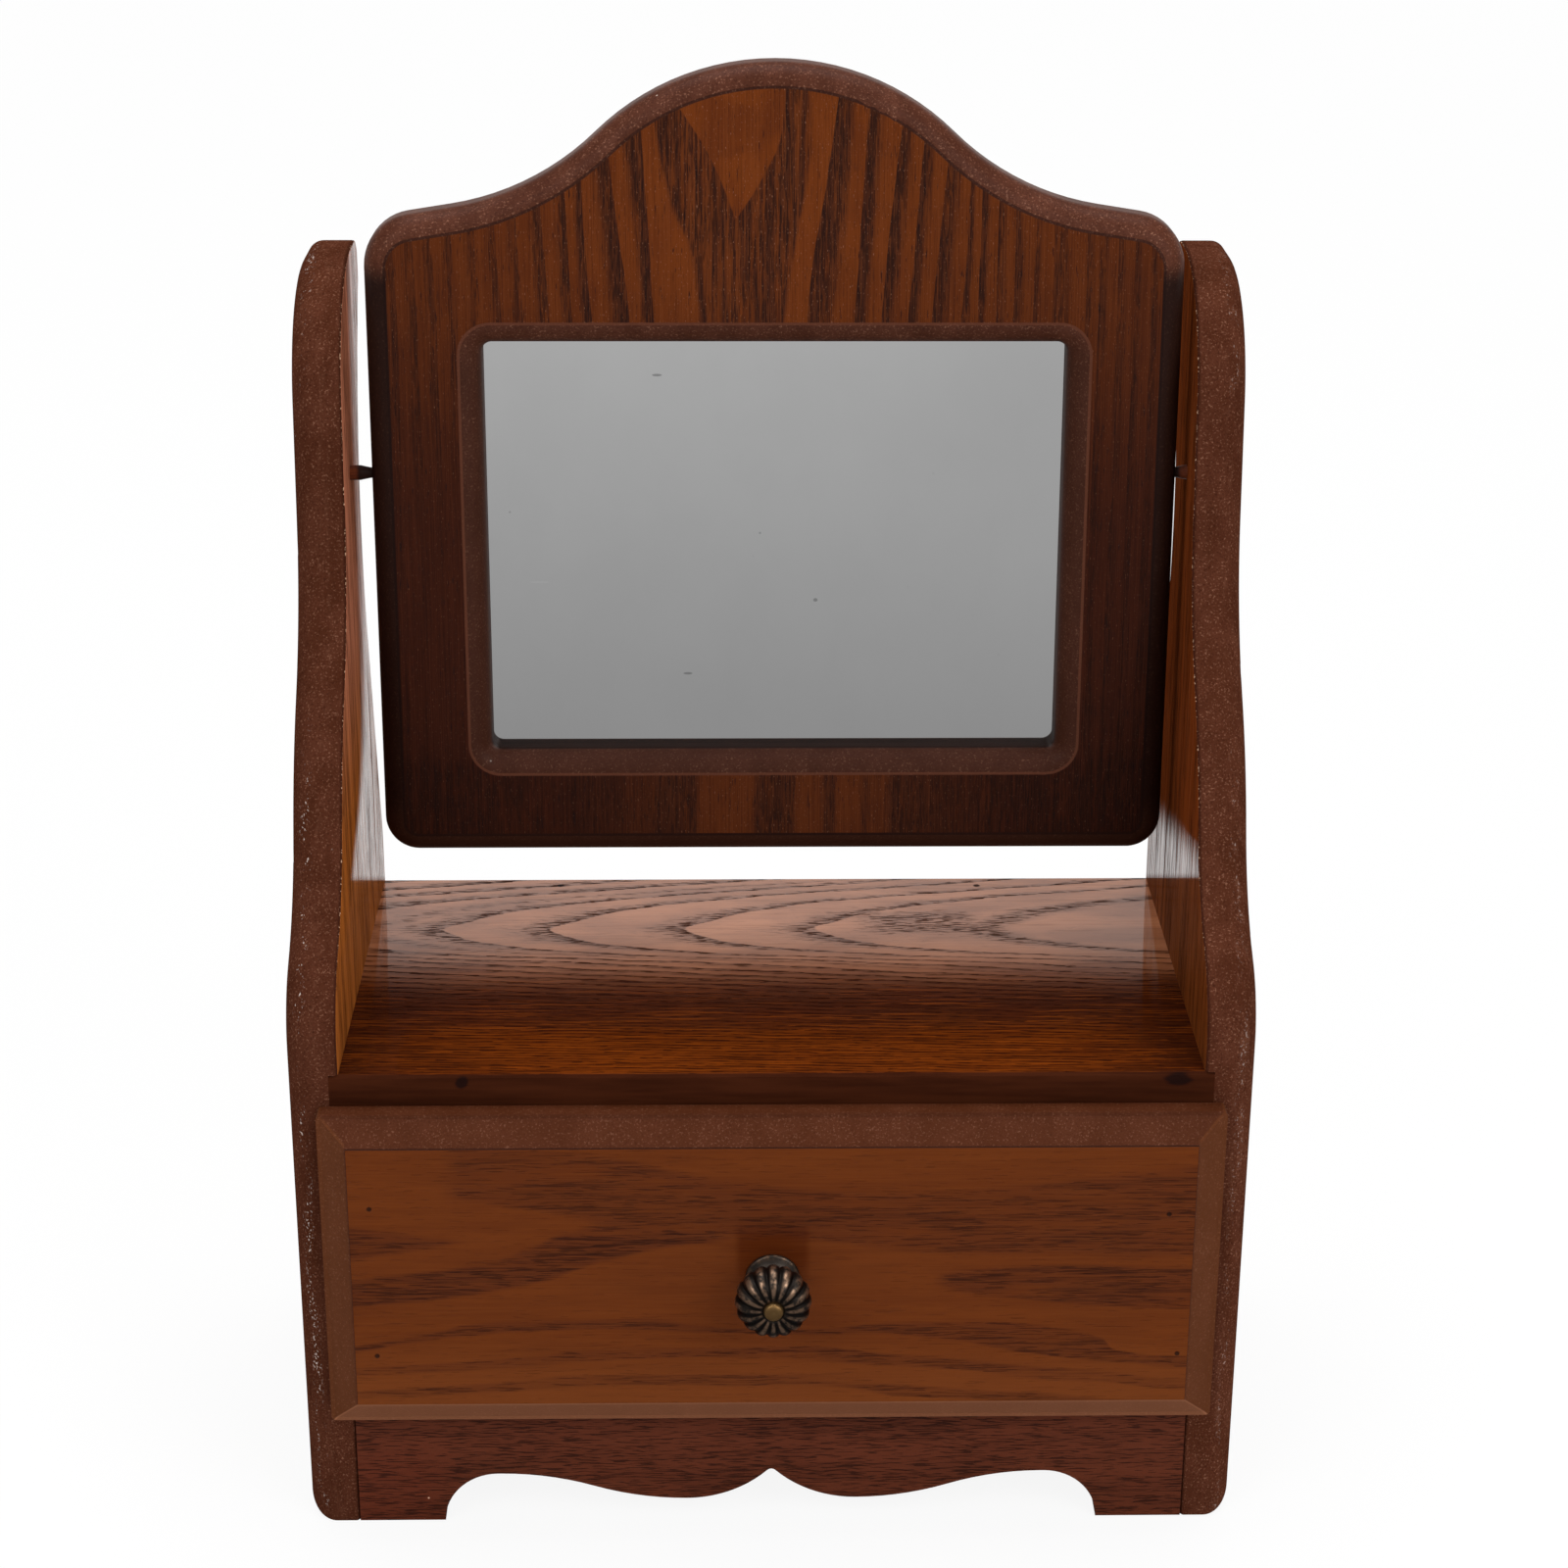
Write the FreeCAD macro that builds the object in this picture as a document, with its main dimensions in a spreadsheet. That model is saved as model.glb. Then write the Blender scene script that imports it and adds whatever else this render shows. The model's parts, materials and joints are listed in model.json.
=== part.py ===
import FreeCAD, Part
import math
import os
import Sketcher

# A tabletop makeup mirror: a small case with one drawer, two tall side panels,
# and an arched mirror that tilts on two wooden pins between them.
# Millimetres. X runs to the right, Y to the back, Z up from the table.
# The origin is on the table, under the middle of the whole object.

# Every length is here once, in millimetres, and every angle in degrees.
# Each angle says how far an edge or a piece leans from upright or from level.

CASE_SIZES = {
    "case_width": 240.0,
    "panel_thickness": 13.0,
    "panel_depth": 121.0,
    "panel_height": 312.0,
    "panel_edge_round": 7.0,
    "edge_ease": 0.8,
    "front_shaped_height": 177.7,
    "back_shaped_height": 174.0,
    "saw_overrun": 2.0,
    "housing_depth": 2.4,
    "shelf_drop": 182.7,
    "shelf_thickness": 12.0,
    "floor_height": 37.0,
    "floor_thickness": 9.0,
    "back_thickness": 9.0,
}

PANEL_ANGLES = {
    "knee_angle": 58.6,
    "hollow_angle": 19.8,
    "nose_angle": 42.6,
    "arm_angle": 7.0,
    "tail_angle": 31.4,
    "back_angle": 13.2,
}

# The curves of a panel's edge and the place of its pin, as shares of the panel's depth.
PANEL_DEPTH_SHARES = {
    "knee_radius_share": 0.2231,
    "hollow_radius_share": 0.3702,
    "nose_radius_share": 0.7678,
    "throat_radius_share": 0.5628,
    "crown_radius_share": 0.3025,
    "tail_corner_radius_share": 0.0661,
    "waist_radius_share": 1.0083,
    "back_bend_radius_share": 0.4132,
    "pivot_depth_share": 0.6942,
}

APRON_SIZES = {
    "apron_thickness": 12.0,
    "foot_width": 22.2,
    "foot_curve_radius": 14.0,
    "crest_flat": 0.9,
    "lobe_drop": 7.8,
    "tip_curve_radius": 30.0,
    "tip_rise": 8.4,
    "tip_round": 1.5,
}

DRAWER_SIZES = {
    "front_overlap_aside": 5.3,
    "front_overlap_below": 3.1,
    "front_overlap_above": 3.8,
    "drawer_front_corner": 1.3,
    "front_edge_thickness": 5.0,
    "front_lip": 1.0,
    "bevel_width": 6.4,
    "bevel_depth": 3.9,
    "field_step": 0.5,
    "front_gap": 0.3,
    "drawer_side_thickness": 9.0,
    "drawer_head_room": 10.3,
    "drawer_tail_room": 7.0,
    "drawer_side_gap": 2.5,
    "drawer_lift": 0.3,
    "drawer_back_thickness": 9.0,
    "drawer_bottom_thickness": 3.0,
    "drawer_bottom_rise": 6.0,
    "groove_depth": 4.0,
    "front_groove_depth": 3.0,
    "groove_slack": 0.2,
}

KNOB_SIZES = {
    "flange_radius": 6.85,
    "flange_thickness": 1.2,
    "neck_radius": 3.6,
    "neck_start": 4.2,
    "roll_offset": 4.2,
    "roll_radius": 5.3,
    "roll_rise": 11.3,
    "button_radius": 2.4,
    "button_ease": 0.7,
    "knob_reach": 17.6,
    "flute_depth": 0.75,
    "knob_screw_radius": 2.0,
    "knob_screw_depth": 8.0,
    "knob_screw_head_radius": 4.0,
    "knob_screw_head_height": 2.4,
    "screw_hole_slack": 0.2,
}

MIRROR_SIZES = {
    "pivot_drop": 53.3,
    "mirror_side_shift": 1.3,
    "frame_thickness": 12.0,
    "frame_side_gap": 4.3,
    "frame_shelf_gap": 27.2,
    "arch_extra_height": 1.3,
    "frame_rail_width": 28.8,
    "frame_edge_round": 6.2,
    "frame_foot_radius": 9.0,
    "opening_corner": 2.6,
    "glass_thickness": 3.0,
    "glass_overlap": 5.0,
    "glass_slack": 0.3,
    "backing_thickness": 2.5,
    "backing_overlap": 11.0,
}

MIRROR_ANGLES = {
    "mirror_angle": 2.0,
    "shoulder_angle": 9.0,
    "arch_angle": 43.7,
}

# The curves of the arch, as shares of the frame's width.
ARCH_SHARES = {
    "shoulder_radius_share": 0.0633,
    "arch_hollow_radius_share": 0.3296,
    "arch_radius_share": 0.315,
}

# How far the opening reaches from the pivot line, as shares of the frame's reach.
OPENING_ABOVE_SHARE = 0.3285
OPENING_BELOW_SHARE = 0.7265

PIN_SIZES = {
    "pin_radius": 1.9,
    "pin_shoulder": 10.6,
    "pin_taper": 2.6,
    "journal_radius": 1.35,
    "journal_length": 7.0,
    "journal_clearance": 0.07,
    "pin_end_play": 0.3,
    "journal_hole_spare": 0.6,
}

FASTENER_SIZES = {
    "brad_radius": 0.65,
    "brad_length": 24.0,
    "short_brad_length": 18.0,
    "brad_set": 0.4,
    "front_brad_rise": 17.0,
    "front_brad_drop": 12.6,
    "shelf_brad_spread": 116.4,
    "shelf_brad_inset": 4.5,
    "backing_screw_radius": 1.2,
    "backing_screw_length": 9.0,
    "backing_screw_head_radius": 2.6,
    "backing_screw_head_height": 1.5,
    "backing_screw_inset": 5.0,
}

FLUTE_COUNT = 16
WIRE_SIDE_COUNT = 6
HEAD_SIDE_COUNT = 12
FULL_TURN = 360.0
SAME_PLACE = 0.001

SIZES = {}
for part_sizes in (CASE_SIZES, PANEL_ANGLES, APRON_SIZES, DRAWER_SIZES, KNOB_SIZES, MIRROR_SIZES,
                   MIRROR_ANGLES, PIN_SIZES, FASTENER_SIZES):
    SIZES.update(part_sizes)


def size(name):
    return SIZES[name]


# The rest of the sizes follow from these, so that every piece still fits when one changes.
for name, share in PANEL_DEPTH_SHARES.items():
    SIZES[name.removesuffix("_share")] = share * size("panel_depth")
SIZES["front_upright_height"] = size("panel_height") - size("front_shaped_height")
SIZES["back_upright_height"] = size("panel_height") - size("back_shaped_height")
SIZES["shelf_height"] = size("panel_height") - size("shelf_drop")
SIZES["pivot_height"] = size("panel_height") - size("pivot_drop")

inner_width = size("case_width") - 2 * size("panel_thickness")
drawer_room = size("shelf_height") - size("shelf_thickness") - size("floor_height")
SIZES["drawer_front_width"] = inner_width + 2 * size("front_overlap_aside")
SIZES["drawer_front_base"] = size("floor_height") - size("front_overlap_below")
SIZES["drawer_front_height"] = drawer_room + size("front_overlap_below") + size("front_overlap_above")
SIZES["drawer_side_height"] = drawer_room - size("drawer_head_room")
SIZES["drawer_side_length"] = size("panel_depth") - size("back_thickness") - size("drawer_tail_room")

SIZES["frame_width"] = inner_width - 2 * size("frame_side_gap")
SIZES["frame_below"] = size("pivot_height") - size("shelf_height") - size("frame_shelf_gap")
SIZES["frame_above"] = size("frame_below") + size("arch_extra_height")
SIZES["opening_width"] = size("frame_width") - 2 * size("frame_rail_width")
SIZES["opening_above"] = OPENING_ABOVE_SHARE * size("frame_above")
SIZES["opening_below"] = OPENING_BELOW_SHARE * size("frame_below")
for name, share in ARCH_SHARES.items():
    SIZES[name.removesuffix("_share")] = share * size("frame_width")

# The apron's lobes are two equal arcs each, and fill what its feet, crests and tip leave.
tip_angle = math.degrees(math.acos(1 - size("tip_rise") / size("tip_curve_radius")))
tip_run = (size("tip_curve_radius") + size("tip_round")) * math.sin(math.radians(tip_angle))
lobe_run = inner_width / 2 - size("foot_width") - size("foot_curve_radius") - size("crest_flat") - tip_run
SIZES["lobe_radius"] = (lobe_run ** 2 + size("lobe_drop") ** 2) / (4 * size("lobe_drop"))

# The front of the side panels lies this far from the origin, so that the origin
# is under the middle of the object from the knob's button to the panels' backs.
drawer_front_reach = (SIZES["front_gap"] + SIZES["front_edge_thickness"]
                      + SIZES["bevel_depth"] + SIZES["field_step"])
SIZES["case_front"] = (drawer_front_reach + SIZES["knob_reach"] - SIZES["panel_depth"]) / 2

doc = FreeCAD.newDocument("makeup_mirror")
sheet = doc.addObject("Spreadsheet::Sheet", "Sizes")
for row, (name, value) in enumerate(SIZES.items(), start=1):
    sheet.set(f"A{row}", name)
    sheet.set(f"B{row}", f"{value:.9g}")
    sheet.setAlias(f"B{row}", name)
doc.recompute()

sub_parts = []


# Small tools for bodies, sketches and features

def sized(formula):
    """A formula in plain size names, written as the sheet's cells."""
    words = []
    for word in formula.split():
        bare = word.strip("()")
        words.append(word.replace(bare, "Sizes." + bare) if bare in SIZES else word)
    return " ".join(words)


def bind(thing, path, formula):
    thing.setExpression(path, sized(formula))


def worked_out(formula):
    return float(doc.getObject("Sizes").evalExpression(sized(formula)))


def new_body(label, across="0", back="0", up="0"):
    body = doc.addObject("PartDesign::Body", label)
    body.Label = label
    bind(body, "Placement.Base.x", across)
    bind(body, "Placement.Base.y", back)
    bind(body, "Placement.Base.z", up)
    sub_parts.append(body)
    return body


def hang_on_pivot(piece):
    """Puts a piece of the mirror, drawn round the pivot line, in its place and leans it back."""
    piece.Placement.Rotation = FreeCAD.Rotation(FreeCAD.Vector(-1, 0, 0), size("mirror_angle"))
    bind(piece, "Placement.Rotation.Angle", "mirror_angle")
    bind(piece, "Placement.Base.x", "mirror_side_shift")
    bind(piece, "Placement.Base.y", "case_front + pivot_depth")
    bind(piece, "Placement.Base.z", "pivot_height")


def attach(thing, body, role, lift="0", across="0", up="0"):
    plane = next(item for item in body.Origin.OriginFeatures if item.Role == role)
    thing.AttachmentSupport = [(plane, "")]
    thing.MapMode = "FlatFace"
    bind(thing, "AttachmentOffset.Base.x", across)
    bind(thing, "AttachmentOffset.Base.y", up)
    bind(thing, "AttachmentOffset.Base.z", lift)


class Outline:
    """A closed outline in a sketch, walked edge by edge; turns to the left are positive."""

    def __init__(self, body, name, role, lift="0", start=(0.0, 0.0), heading=0.0):
        self.sketch = body.newObject("Sketcher::SketchObject", name)
        attach(self.sketch, body, role, lift)
        self.place = start
        self.heading = heading
        self.edges = []

    def _add(self, shape, first, last, smooth):
        edge = self.sketch.addGeometry(shape, False)
        if self.edges:
            kind = "Tangent" if smooth else "Coincident"
            before, _, before_end = self.edges[-1]
            self.sketch.addConstraint(Sketcher.Constraint(kind, before, before_end, edge, first))
        self.edges.append((edge, first, last))
        return edge

    def line(self, length, smooth=True):
        way = math.radians(self.heading)
        end = (self.place[0] + length * math.cos(way), self.place[1] + length * math.sin(way))
        shape = Part.LineSegment(FreeCAD.Vector(*self.place, 0), FreeCAD.Vector(*end, 0))
        self.place = end
        return self._add(shape, 1, 2, smooth)

    def arc(self, radius_name, turn, smooth=True):
        radius = size(radius_name)
        side = math.copysign(1, turn)
        way = math.radians(self.heading)
        centre = (self.place[0] - side * radius * math.sin(way),
                  self.place[1] + side * radius * math.cos(way))
        from_centre = math.atan2(self.place[1] - centre[1], self.place[0] - centre[0])
        to_centre = from_centre + math.radians(turn)
        circle = Part.Circle(FreeCAD.Vector(*centre, 0), FreeCAD.Vector(0, 0, 1), radius)
        shape = Part.ArcOfCircle(circle, min(from_centre, to_centre), max(from_centre, to_centre))
        self.place = (centre[0] + radius * math.cos(to_centre), centre[1] + radius * math.sin(to_centre))
        self.heading += turn
        ends = (1, 2) if turn > 0 else (2, 1)
        edge = self._add(shape, ends[0], ends[1], smooth)
        self.dimension("Radius", radius_name, edge)
        return edge

    def turn(self, angle):
        self.heading += angle

    def close(self, smooth=False):
        kind = "Tangent" if smooth else "Coincident"
        first, last = self.edges[0], self.edges[-1]
        self.sketch.addConstraint(Sketcher.Constraint(kind, last[0], last[2], first[0], first[1]))

    def rule(self, kind, *ends):
        self.sketch.addConstraint(Sketcher.Constraint(kind, *ends))

    def dimension(self, kind, formula, *ends):
        """Ties one dimension of the outline to the sheet."""
        index = self.sketch.addConstraint(Sketcher.Constraint(kind, *ends, worked_out(formula)))
        self.sketch.setExpression(f"Constraints[{index}]", sized(formula))


def rectangle(body, name, role, width, height, lift="0", across="0", up="0"):
    """A rectangle whose lower left corner is at across, up in its plane."""
    outline = Outline(body, name, role, lift, (0.0, 0.0))
    for length in (width, height, width, height):
        outline.line(worked_out(length), smooth=False)
        outline.turn(90)
    outline.close()
    bottom, right, top, left = (edge for edge, _, _ in outline.edges)
    outline.rule("Horizontal", bottom)
    outline.rule("Horizontal", top)
    outline.rule("Vertical", right)
    outline.rule("Vertical", left)
    outline.rule("Coincident", bottom, 1, -1, 1)
    outline.dimension("DistanceX", width, bottom, 1, bottom, 2)
    outline.dimension("DistanceY", height, right, 1, right, 2)
    bind(outline.sketch, "AttachmentOffset.Base.x", across)
    bind(outline.sketch, "AttachmentOffset.Base.y", up)
    return outline


def pad(body, name, outline, length, backwards=False):
    feature = body.newObject("PartDesign::Pad", name)
    feature.Profile = outline.sketch
    bind(feature, "Length", length)
    feature.Reversed = backwards
    outline.sketch.Visibility = False
    doc.recompute()
    return feature


def cut_and_compare(body, feature, before):
    doc.recompute()
    if not feature.Shape.Volume < before:
        raise RuntimeError(f"{feature.Name} of {body.Label} cuts nothing")
    return feature


def pocket(body, name, outline, depth, backwards=False):
    before = body.Shape.Volume
    feature = body.newObject("PartDesign::Pocket", name)
    feature.Profile = outline.sketch
    bind(feature, "Length", depth)
    feature.Reversed = backwards
    outline.sketch.Visibility = False
    return cut_and_compare(body, feature, before)


def bore(body, name, role, radius, depth, lift="0", across="0", up="0"):
    """A round hole along the plane's normal, from lift and on for its depth."""
    before = body.Shape.Volume
    feature = body.newObject("PartDesign::SubtractiveCylinder", name)
    attach(feature, body, role, lift, across, up)
    bind(feature, "Radius", radius)
    bind(feature, "Height", depth)
    return cut_and_compare(body, feature, before)


def dress(body, kind, name, base, radius, wanted):
    """A fillet or a chamfer on the edges of base that wanted accepts."""
    edges = [f"Edge{number}" for number, edge in enumerate(base.Shape.Edges, start=1) if wanted(edge)]
    feature = body.newObject(kind, name)
    feature.Base = (base, edges)
    bind(feature, "Radius" if kind.endswith("Fillet") else "Size", radius)
    doc.recompute()
    return feature


def lies_at(axis, place):
    """Tells whether an edge lies wholly in a plane square to an axis of the body."""
    def test(edge):
        low = getattr(edge.BoundBox, axis + "Min")
        high = getattr(edge.BoundBox, axis + "Max")
        return abs(low - place) < SAME_PLACE and abs(high - place) < SAME_PLACE
    return test


def board(label, width, depth, height, across, back, up):
    """A plain rectangular board, its lower front left corner at across, back, up."""
    body = new_body(label, across, back, up)
    outline = rectangle(body, label + "_outline", "XY_Plane", width, depth)
    pad(body, label + "_board", outline, height)
    return body


def group(label, items):
    """Separate solids of one kind, kept as one piece of the list."""
    compound = doc.addObject("Part::Compound", label)
    compound.Label = label
    compound.Links = items
    sub_parts.append(compound)
    return compound


def arc_run(radius, heading, turn):
    """How far an arc goes across and up."""
    side = math.copysign(1, turn)
    start = math.radians(heading)
    end = math.radians(heading + turn)
    across = side * radius * (math.sin(end) - math.sin(start))
    up = side * radius * (math.cos(start) - math.cos(end))
    return across, up


INNER_WIDTH = "( case_width - 2 * panel_thickness )"
UPRIGHT = 90.0
LEVEL = 0.0


# Side panels: the front and top are shaped and rounded first, then the back is sawn

FRONT_TURNS = (
    ("knee_radius", -size("knee_angle")),
    ("hollow_radius", size("knee_angle") - size("hollow_angle")),
    ("nose_radius", size("hollow_angle") - size("nose_angle")),
    ("throat_radius", size("nose_angle") - size("arm_angle")),
)


def panel_outline(body):
    """The panel seen from the right: its front edge, a double S, is walked upward first."""
    heading = UPRIGHT
    across = 0.0
    up = size("front_upright_height")
    for radius_name, turn in FRONT_TURNS:
        step = arc_run(size(radius_name), heading, turn)
        across += step[0]
        up += step[1]
        heading += turn
    crown = arc_run(size("crown_radius"), heading, -heading)
    arm_length = (size("panel_height") - up - crown[1]) / math.sin(math.radians(heading))
    across += arm_length * math.cos(math.radians(heading)) + crown[0]

    outline = Outline(body, "panel_outline", "YZ_Plane", heading=UPRIGHT)
    front = outline.line(size("front_upright_height"))
    for radius_name, turn in FRONT_TURNS:
        outline.arc(radius_name, turn)
    outline.line(arm_length)
    outline.arc("crown_radius", -outline.heading)
    top = outline.line(size("panel_depth") - across)
    outline.turn(-UPRIGHT)
    back = outline.line(size("panel_height"), smooth=False)
    outline.turn(-UPRIGHT)
    base = outline.line(size("panel_depth"), smooth=False)
    outline.close()
    outline.rule("Coincident", front, 1, -1, 1)
    outline.rule("Vertical", front)
    outline.rule("Vertical", back)
    outline.rule("Horizontal", base)
    outline.rule("Horizontal", top)
    outline.dimension("DistanceY", "front_upright_height", front, 1, front, 2)
    outline.dimension("DistanceX", "panel_depth", base, 2, base, 1)
    outline.dimension("DistanceY", "panel_height", -1, 1, top, 1)
    return outline


def waste_outline(body):
    """What is sawn off behind: round the tail of the arm, into the waist and down to the upright."""
    tail_heading = -UPRIGHT - size("tail_angle")
    back_heading = -UPRIGHT + size("back_angle")
    corner = arc_run(size("tail_corner_radius"), LEVEL, tail_heading)
    waist = arc_run(size("waist_radius"), tail_heading, back_heading - tail_heading)
    bend = arc_run(size("back_bend_radius"), back_heading, -size("back_angle"))
    drop = size("panel_height") - size("back_upright_height") + corner[1] + waist[1] + bend[1]
    back_length = drop / math.cos(math.radians(size("back_angle")))
    slope_run = back_length * math.sin(math.radians(size("back_angle")))
    tail_start = size("panel_depth") - corner[0] - waist[0] - slope_run - bend[0]

    outline = Outline(body, "waste_outline", "YZ_Plane", start=(tail_start, size("panel_height")))
    tail = outline.arc("tail_corner_radius", tail_heading)
    outline.arc("waist_radius", back_heading - tail_heading)
    outline.line(back_length)
    bend_arc = outline.arc("back_bend_radius", -size("back_angle"))
    outline.turn(UPRIGHT)
    level = outline.line(size("saw_overrun"), smooth=False)
    outline.turn(UPRIGHT)
    upright = outline.line(size("panel_height") - size("back_upright_height") + size("saw_overrun"),
                           smooth=False)
    outline.turn(UPRIGHT)
    top = outline.line(size("panel_depth") + size("saw_overrun") - tail_start, smooth=False)
    outline.turn(UPRIGHT)
    start = outline.line(size("saw_overrun"), smooth=False)
    outline.close()
    for edge in (level, top):
        outline.rule("Horizontal", edge)
    for edge in (upright, start):
        outline.rule("Vertical", edge)
    outline.dimension("DistanceY", "back_upright_height", -1, 1, level, 1)
    outline.dimension("DistanceX", "panel_depth", -1, 1, level, 1)
    outline.dimension("DistanceX", "saw_overrun", level, 1, level, 2)
    outline.dimension("DistanceY", "saw_overrun", start, 2, start, 1)
    outline.dimension("DistanceY", "panel_height", -1, 1, tail, 2)
    return outline


def side_panel(label, across, outer_face, inner_face, cut_backwards, pin_seat):
    body = new_body(label, across, "case_front", "0")

    def outer_edges(edge):
        return lies_at("X", worked_out(outer_face))(edge) and not lies_at("Y", size("panel_depth"))(edge)

    def inner_edges(edge):
        return (lies_at("X", worked_out(inner_face))(edge) and not lies_at("Z", 0.0)(edge)
                and not lies_at("Y", size("panel_depth"))(edge))

    base = pad(body, label + "_board", panel_outline(body), "panel_thickness")
    outer = dress(body, "PartDesign::Fillet", label + "_outer_round", base, "panel_edge_round", outer_edges)
    dress(body, "PartDesign::Chamfer", label + "_inner_ease", outer, "edge_ease", inner_edges)
    pocket(body, label + "_sawn_back", waste_outline(body), "panel_thickness", backwards=True)
    shelf_groove = rectangle(body, "shelf_groove", "YZ_Plane", "panel_depth", "shelf_thickness",
                             inner_face, "0", "shelf_height - shelf_thickness")
    pocket(body, label + "_shelf_housing", shelf_groove, "housing_depth", cut_backwards)
    floor_groove = rectangle(body, "floor_groove", "YZ_Plane",
                             "panel_depth - apron_thickness - back_thickness", "floor_thickness",
                             inner_face, "apron_thickness", "floor_height - floor_thickness")
    pocket(body, label + "_floor_housing", floor_groove, "housing_depth", cut_backwards)
    start = f"( {inner_face} )" if cut_backwards else f"( {inner_face} ) - ( {pin_seat} )"
    bore(body, label + "_pin_hole", "YZ_Plane", "pin_radius", pin_seat, start,
         "pivot_depth", "pivot_height")


# The frame hangs nearer the right panel, so the right pin is driven deeper.
PIN_OUT = "( pin_end_play + pin_taper )"
LEFT_SEAT = f"( pin_shoulder - ( frame_side_gap + mirror_side_shift - {PIN_OUT} ) )"
RIGHT_SEAT = f"( pin_shoulder - ( frame_side_gap - mirror_side_shift - {PIN_OUT} ) )"

side_panel("side_panel_left", "( 0 - case_width ) / 2", "0", "panel_thickness", False, LEFT_SEAT)
side_panel("side_panel_right", "case_width / 2 - panel_thickness", "panel_thickness", "0", True, RIGHT_SEAT)


# Boards of the case

shelf = board("shelf_board", f"{INNER_WIDTH} + 2 * housing_depth", "panel_depth", "shelf_thickness",
              "panel_thickness - housing_depth - case_width / 2", "case_front",
              "shelf_height - shelf_thickness")
dress(shelf, "PartDesign::Chamfer", "shelf_front_ease", shelf.Tip, "edge_ease",
      lambda edge: lies_at("Y", 0.0)(edge) and lies_at("Z", size("shelf_thickness"))(edge))

board("floor_board", f"{INNER_WIDTH} + 2 * housing_depth", "panel_depth - apron_thickness - back_thickness",
      "floor_thickness", "panel_thickness - housing_depth - case_width / 2",
      "case_front + apron_thickness", "floor_height - floor_thickness")

board("back_board", INNER_WIDTH, "back_thickness",
      "shelf_height - shelf_thickness - floor_height + floor_thickness",
      "panel_thickness - case_width / 2", "case_front + panel_depth - back_thickness",
      "floor_height - floor_thickness")


# Apron with its scalloped lower edge

def apron():
    body = new_body("front_apron", "0", "case_front", "0")
    lobe_angle = math.degrees(math.asin(lobe_run / (2 * size("lobe_radius"))))
    half_width = inner_width / 2

    outline = Outline(body, "apron_outline", "XZ_Plane", start=(-half_width, 0.0))
    left_foot = outline.line(size("foot_width"))
    outline.turn(UPRIGHT)
    outline.arc("foot_curve_radius", -UPRIGHT, smooth=False)
    left_crest = outline.line(size("crest_flat"))
    outline.arc("lobe_radius", -lobe_angle)
    outline.arc("lobe_radius", lobe_angle)
    outline.arc("tip_curve_radius", tip_angle)
    outline.arc("tip_round", -2 * tip_angle)
    outline.arc("tip_curve_radius", tip_angle)
    outline.arc("lobe_radius", lobe_angle)
    outline.arc("lobe_radius", -lobe_angle)
    right_crest = outline.line(size("crest_flat"))
    outline.arc("foot_curve_radius", -UPRIGHT)
    outline.turn(UPRIGHT)
    right_foot = outline.line(size("foot_width"), smooth=False)
    outline.turn(UPRIGHT)
    right_end = outline.line(size("floor_height"), smooth=False)
    outline.turn(UPRIGHT)
    top = outline.line(2 * half_width, smooth=False)
    outline.turn(UPRIGHT)
    left_end = outline.line(size("floor_height"), smooth=False)
    outline.close()
    for level in (left_foot, right_foot, top, left_crest, right_crest):
        outline.rule("Horizontal", level)
    for upright in (left_end, right_end):
        outline.rule("Vertical", upright)
    outline.rule("Symmetric", left_foot, 1, right_foot, 2, -1, 1)
    outline.dimension("DistanceX", "foot_width", left_foot, 1, left_foot, 2)
    outline.dimension("DistanceX", "foot_width", right_foot, 1, right_foot, 2)
    outline.dimension("DistanceY", "floor_height", right_end, 1, right_end, 2)
    outline.dimension("DistanceX", INNER_WIDTH, top, 2, top, 1)
    pad(body, "apron_board", outline, "apron_thickness", backwards=True)


apron()


# Pivot pins, glued into the panels; the frame turns on their thin ends

def pivot_pin(label, across, right_side):
    body = new_body(label, across, "case_front + pivot_depth", "pivot_height")
    if right_side:
        body.Placement.Rotation = FreeCAD.Rotation(FreeCAD.Vector(0, 0, 1), FULL_TURN / 2)
    outline = Outline(body, "pin_profile", "XZ_Plane")
    axis_line = outline.line(worked_out("pin_shoulder + pin_taper + journal_length"), smooth=False)
    outline.turn(UPRIGHT)
    tip = outline.line(size("journal_radius"), smooth=False)
    outline.turn(UPRIGHT)
    journal = outline.line(size("journal_length"), smooth=False)
    slope = math.atan2(size("pin_radius") - size("journal_radius"), size("pin_taper"))
    outline.turn(-math.degrees(slope))
    outline.line(math.hypot(size("pin_taper"), size("pin_radius") - size("journal_radius")), smooth=False)
    outline.turn(math.degrees(slope))
    shoulder = outline.line(size("pin_shoulder"), smooth=False)
    outline.turn(UPRIGHT)
    butt = outline.line(size("pin_radius"), smooth=False)
    outline.close()
    outline.rule("Coincident", axis_line, 1, -1, 1)
    for level in (axis_line, journal, shoulder):
        outline.rule("Horizontal", level)
    for upright in (tip, butt):
        outline.rule("Vertical", upright)
    outline.dimension("DistanceX", "pin_shoulder", shoulder, 2, shoulder, 1)
    outline.dimension("DistanceX", "journal_length", journal, 2, journal, 1)
    outline.dimension("DistanceX", "pin_shoulder + pin_taper + journal_length",
                      axis_line, 1, axis_line, 2)
    outline.dimension("DistanceY", "pin_radius", butt, 2, butt, 1)
    outline.dimension("DistanceY", "journal_radius", tip, 1, tip, 2)
    turned = body.newObject("PartDesign::Revolution", label + "_turned")
    turned.Profile = outline.sketch
    turned.ReferenceAxis = (outline.sketch, ["H_Axis"])
    turned.Angle = FULL_TURN
    doc.recompute()
    sub_parts.remove(body)
    return body


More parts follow.
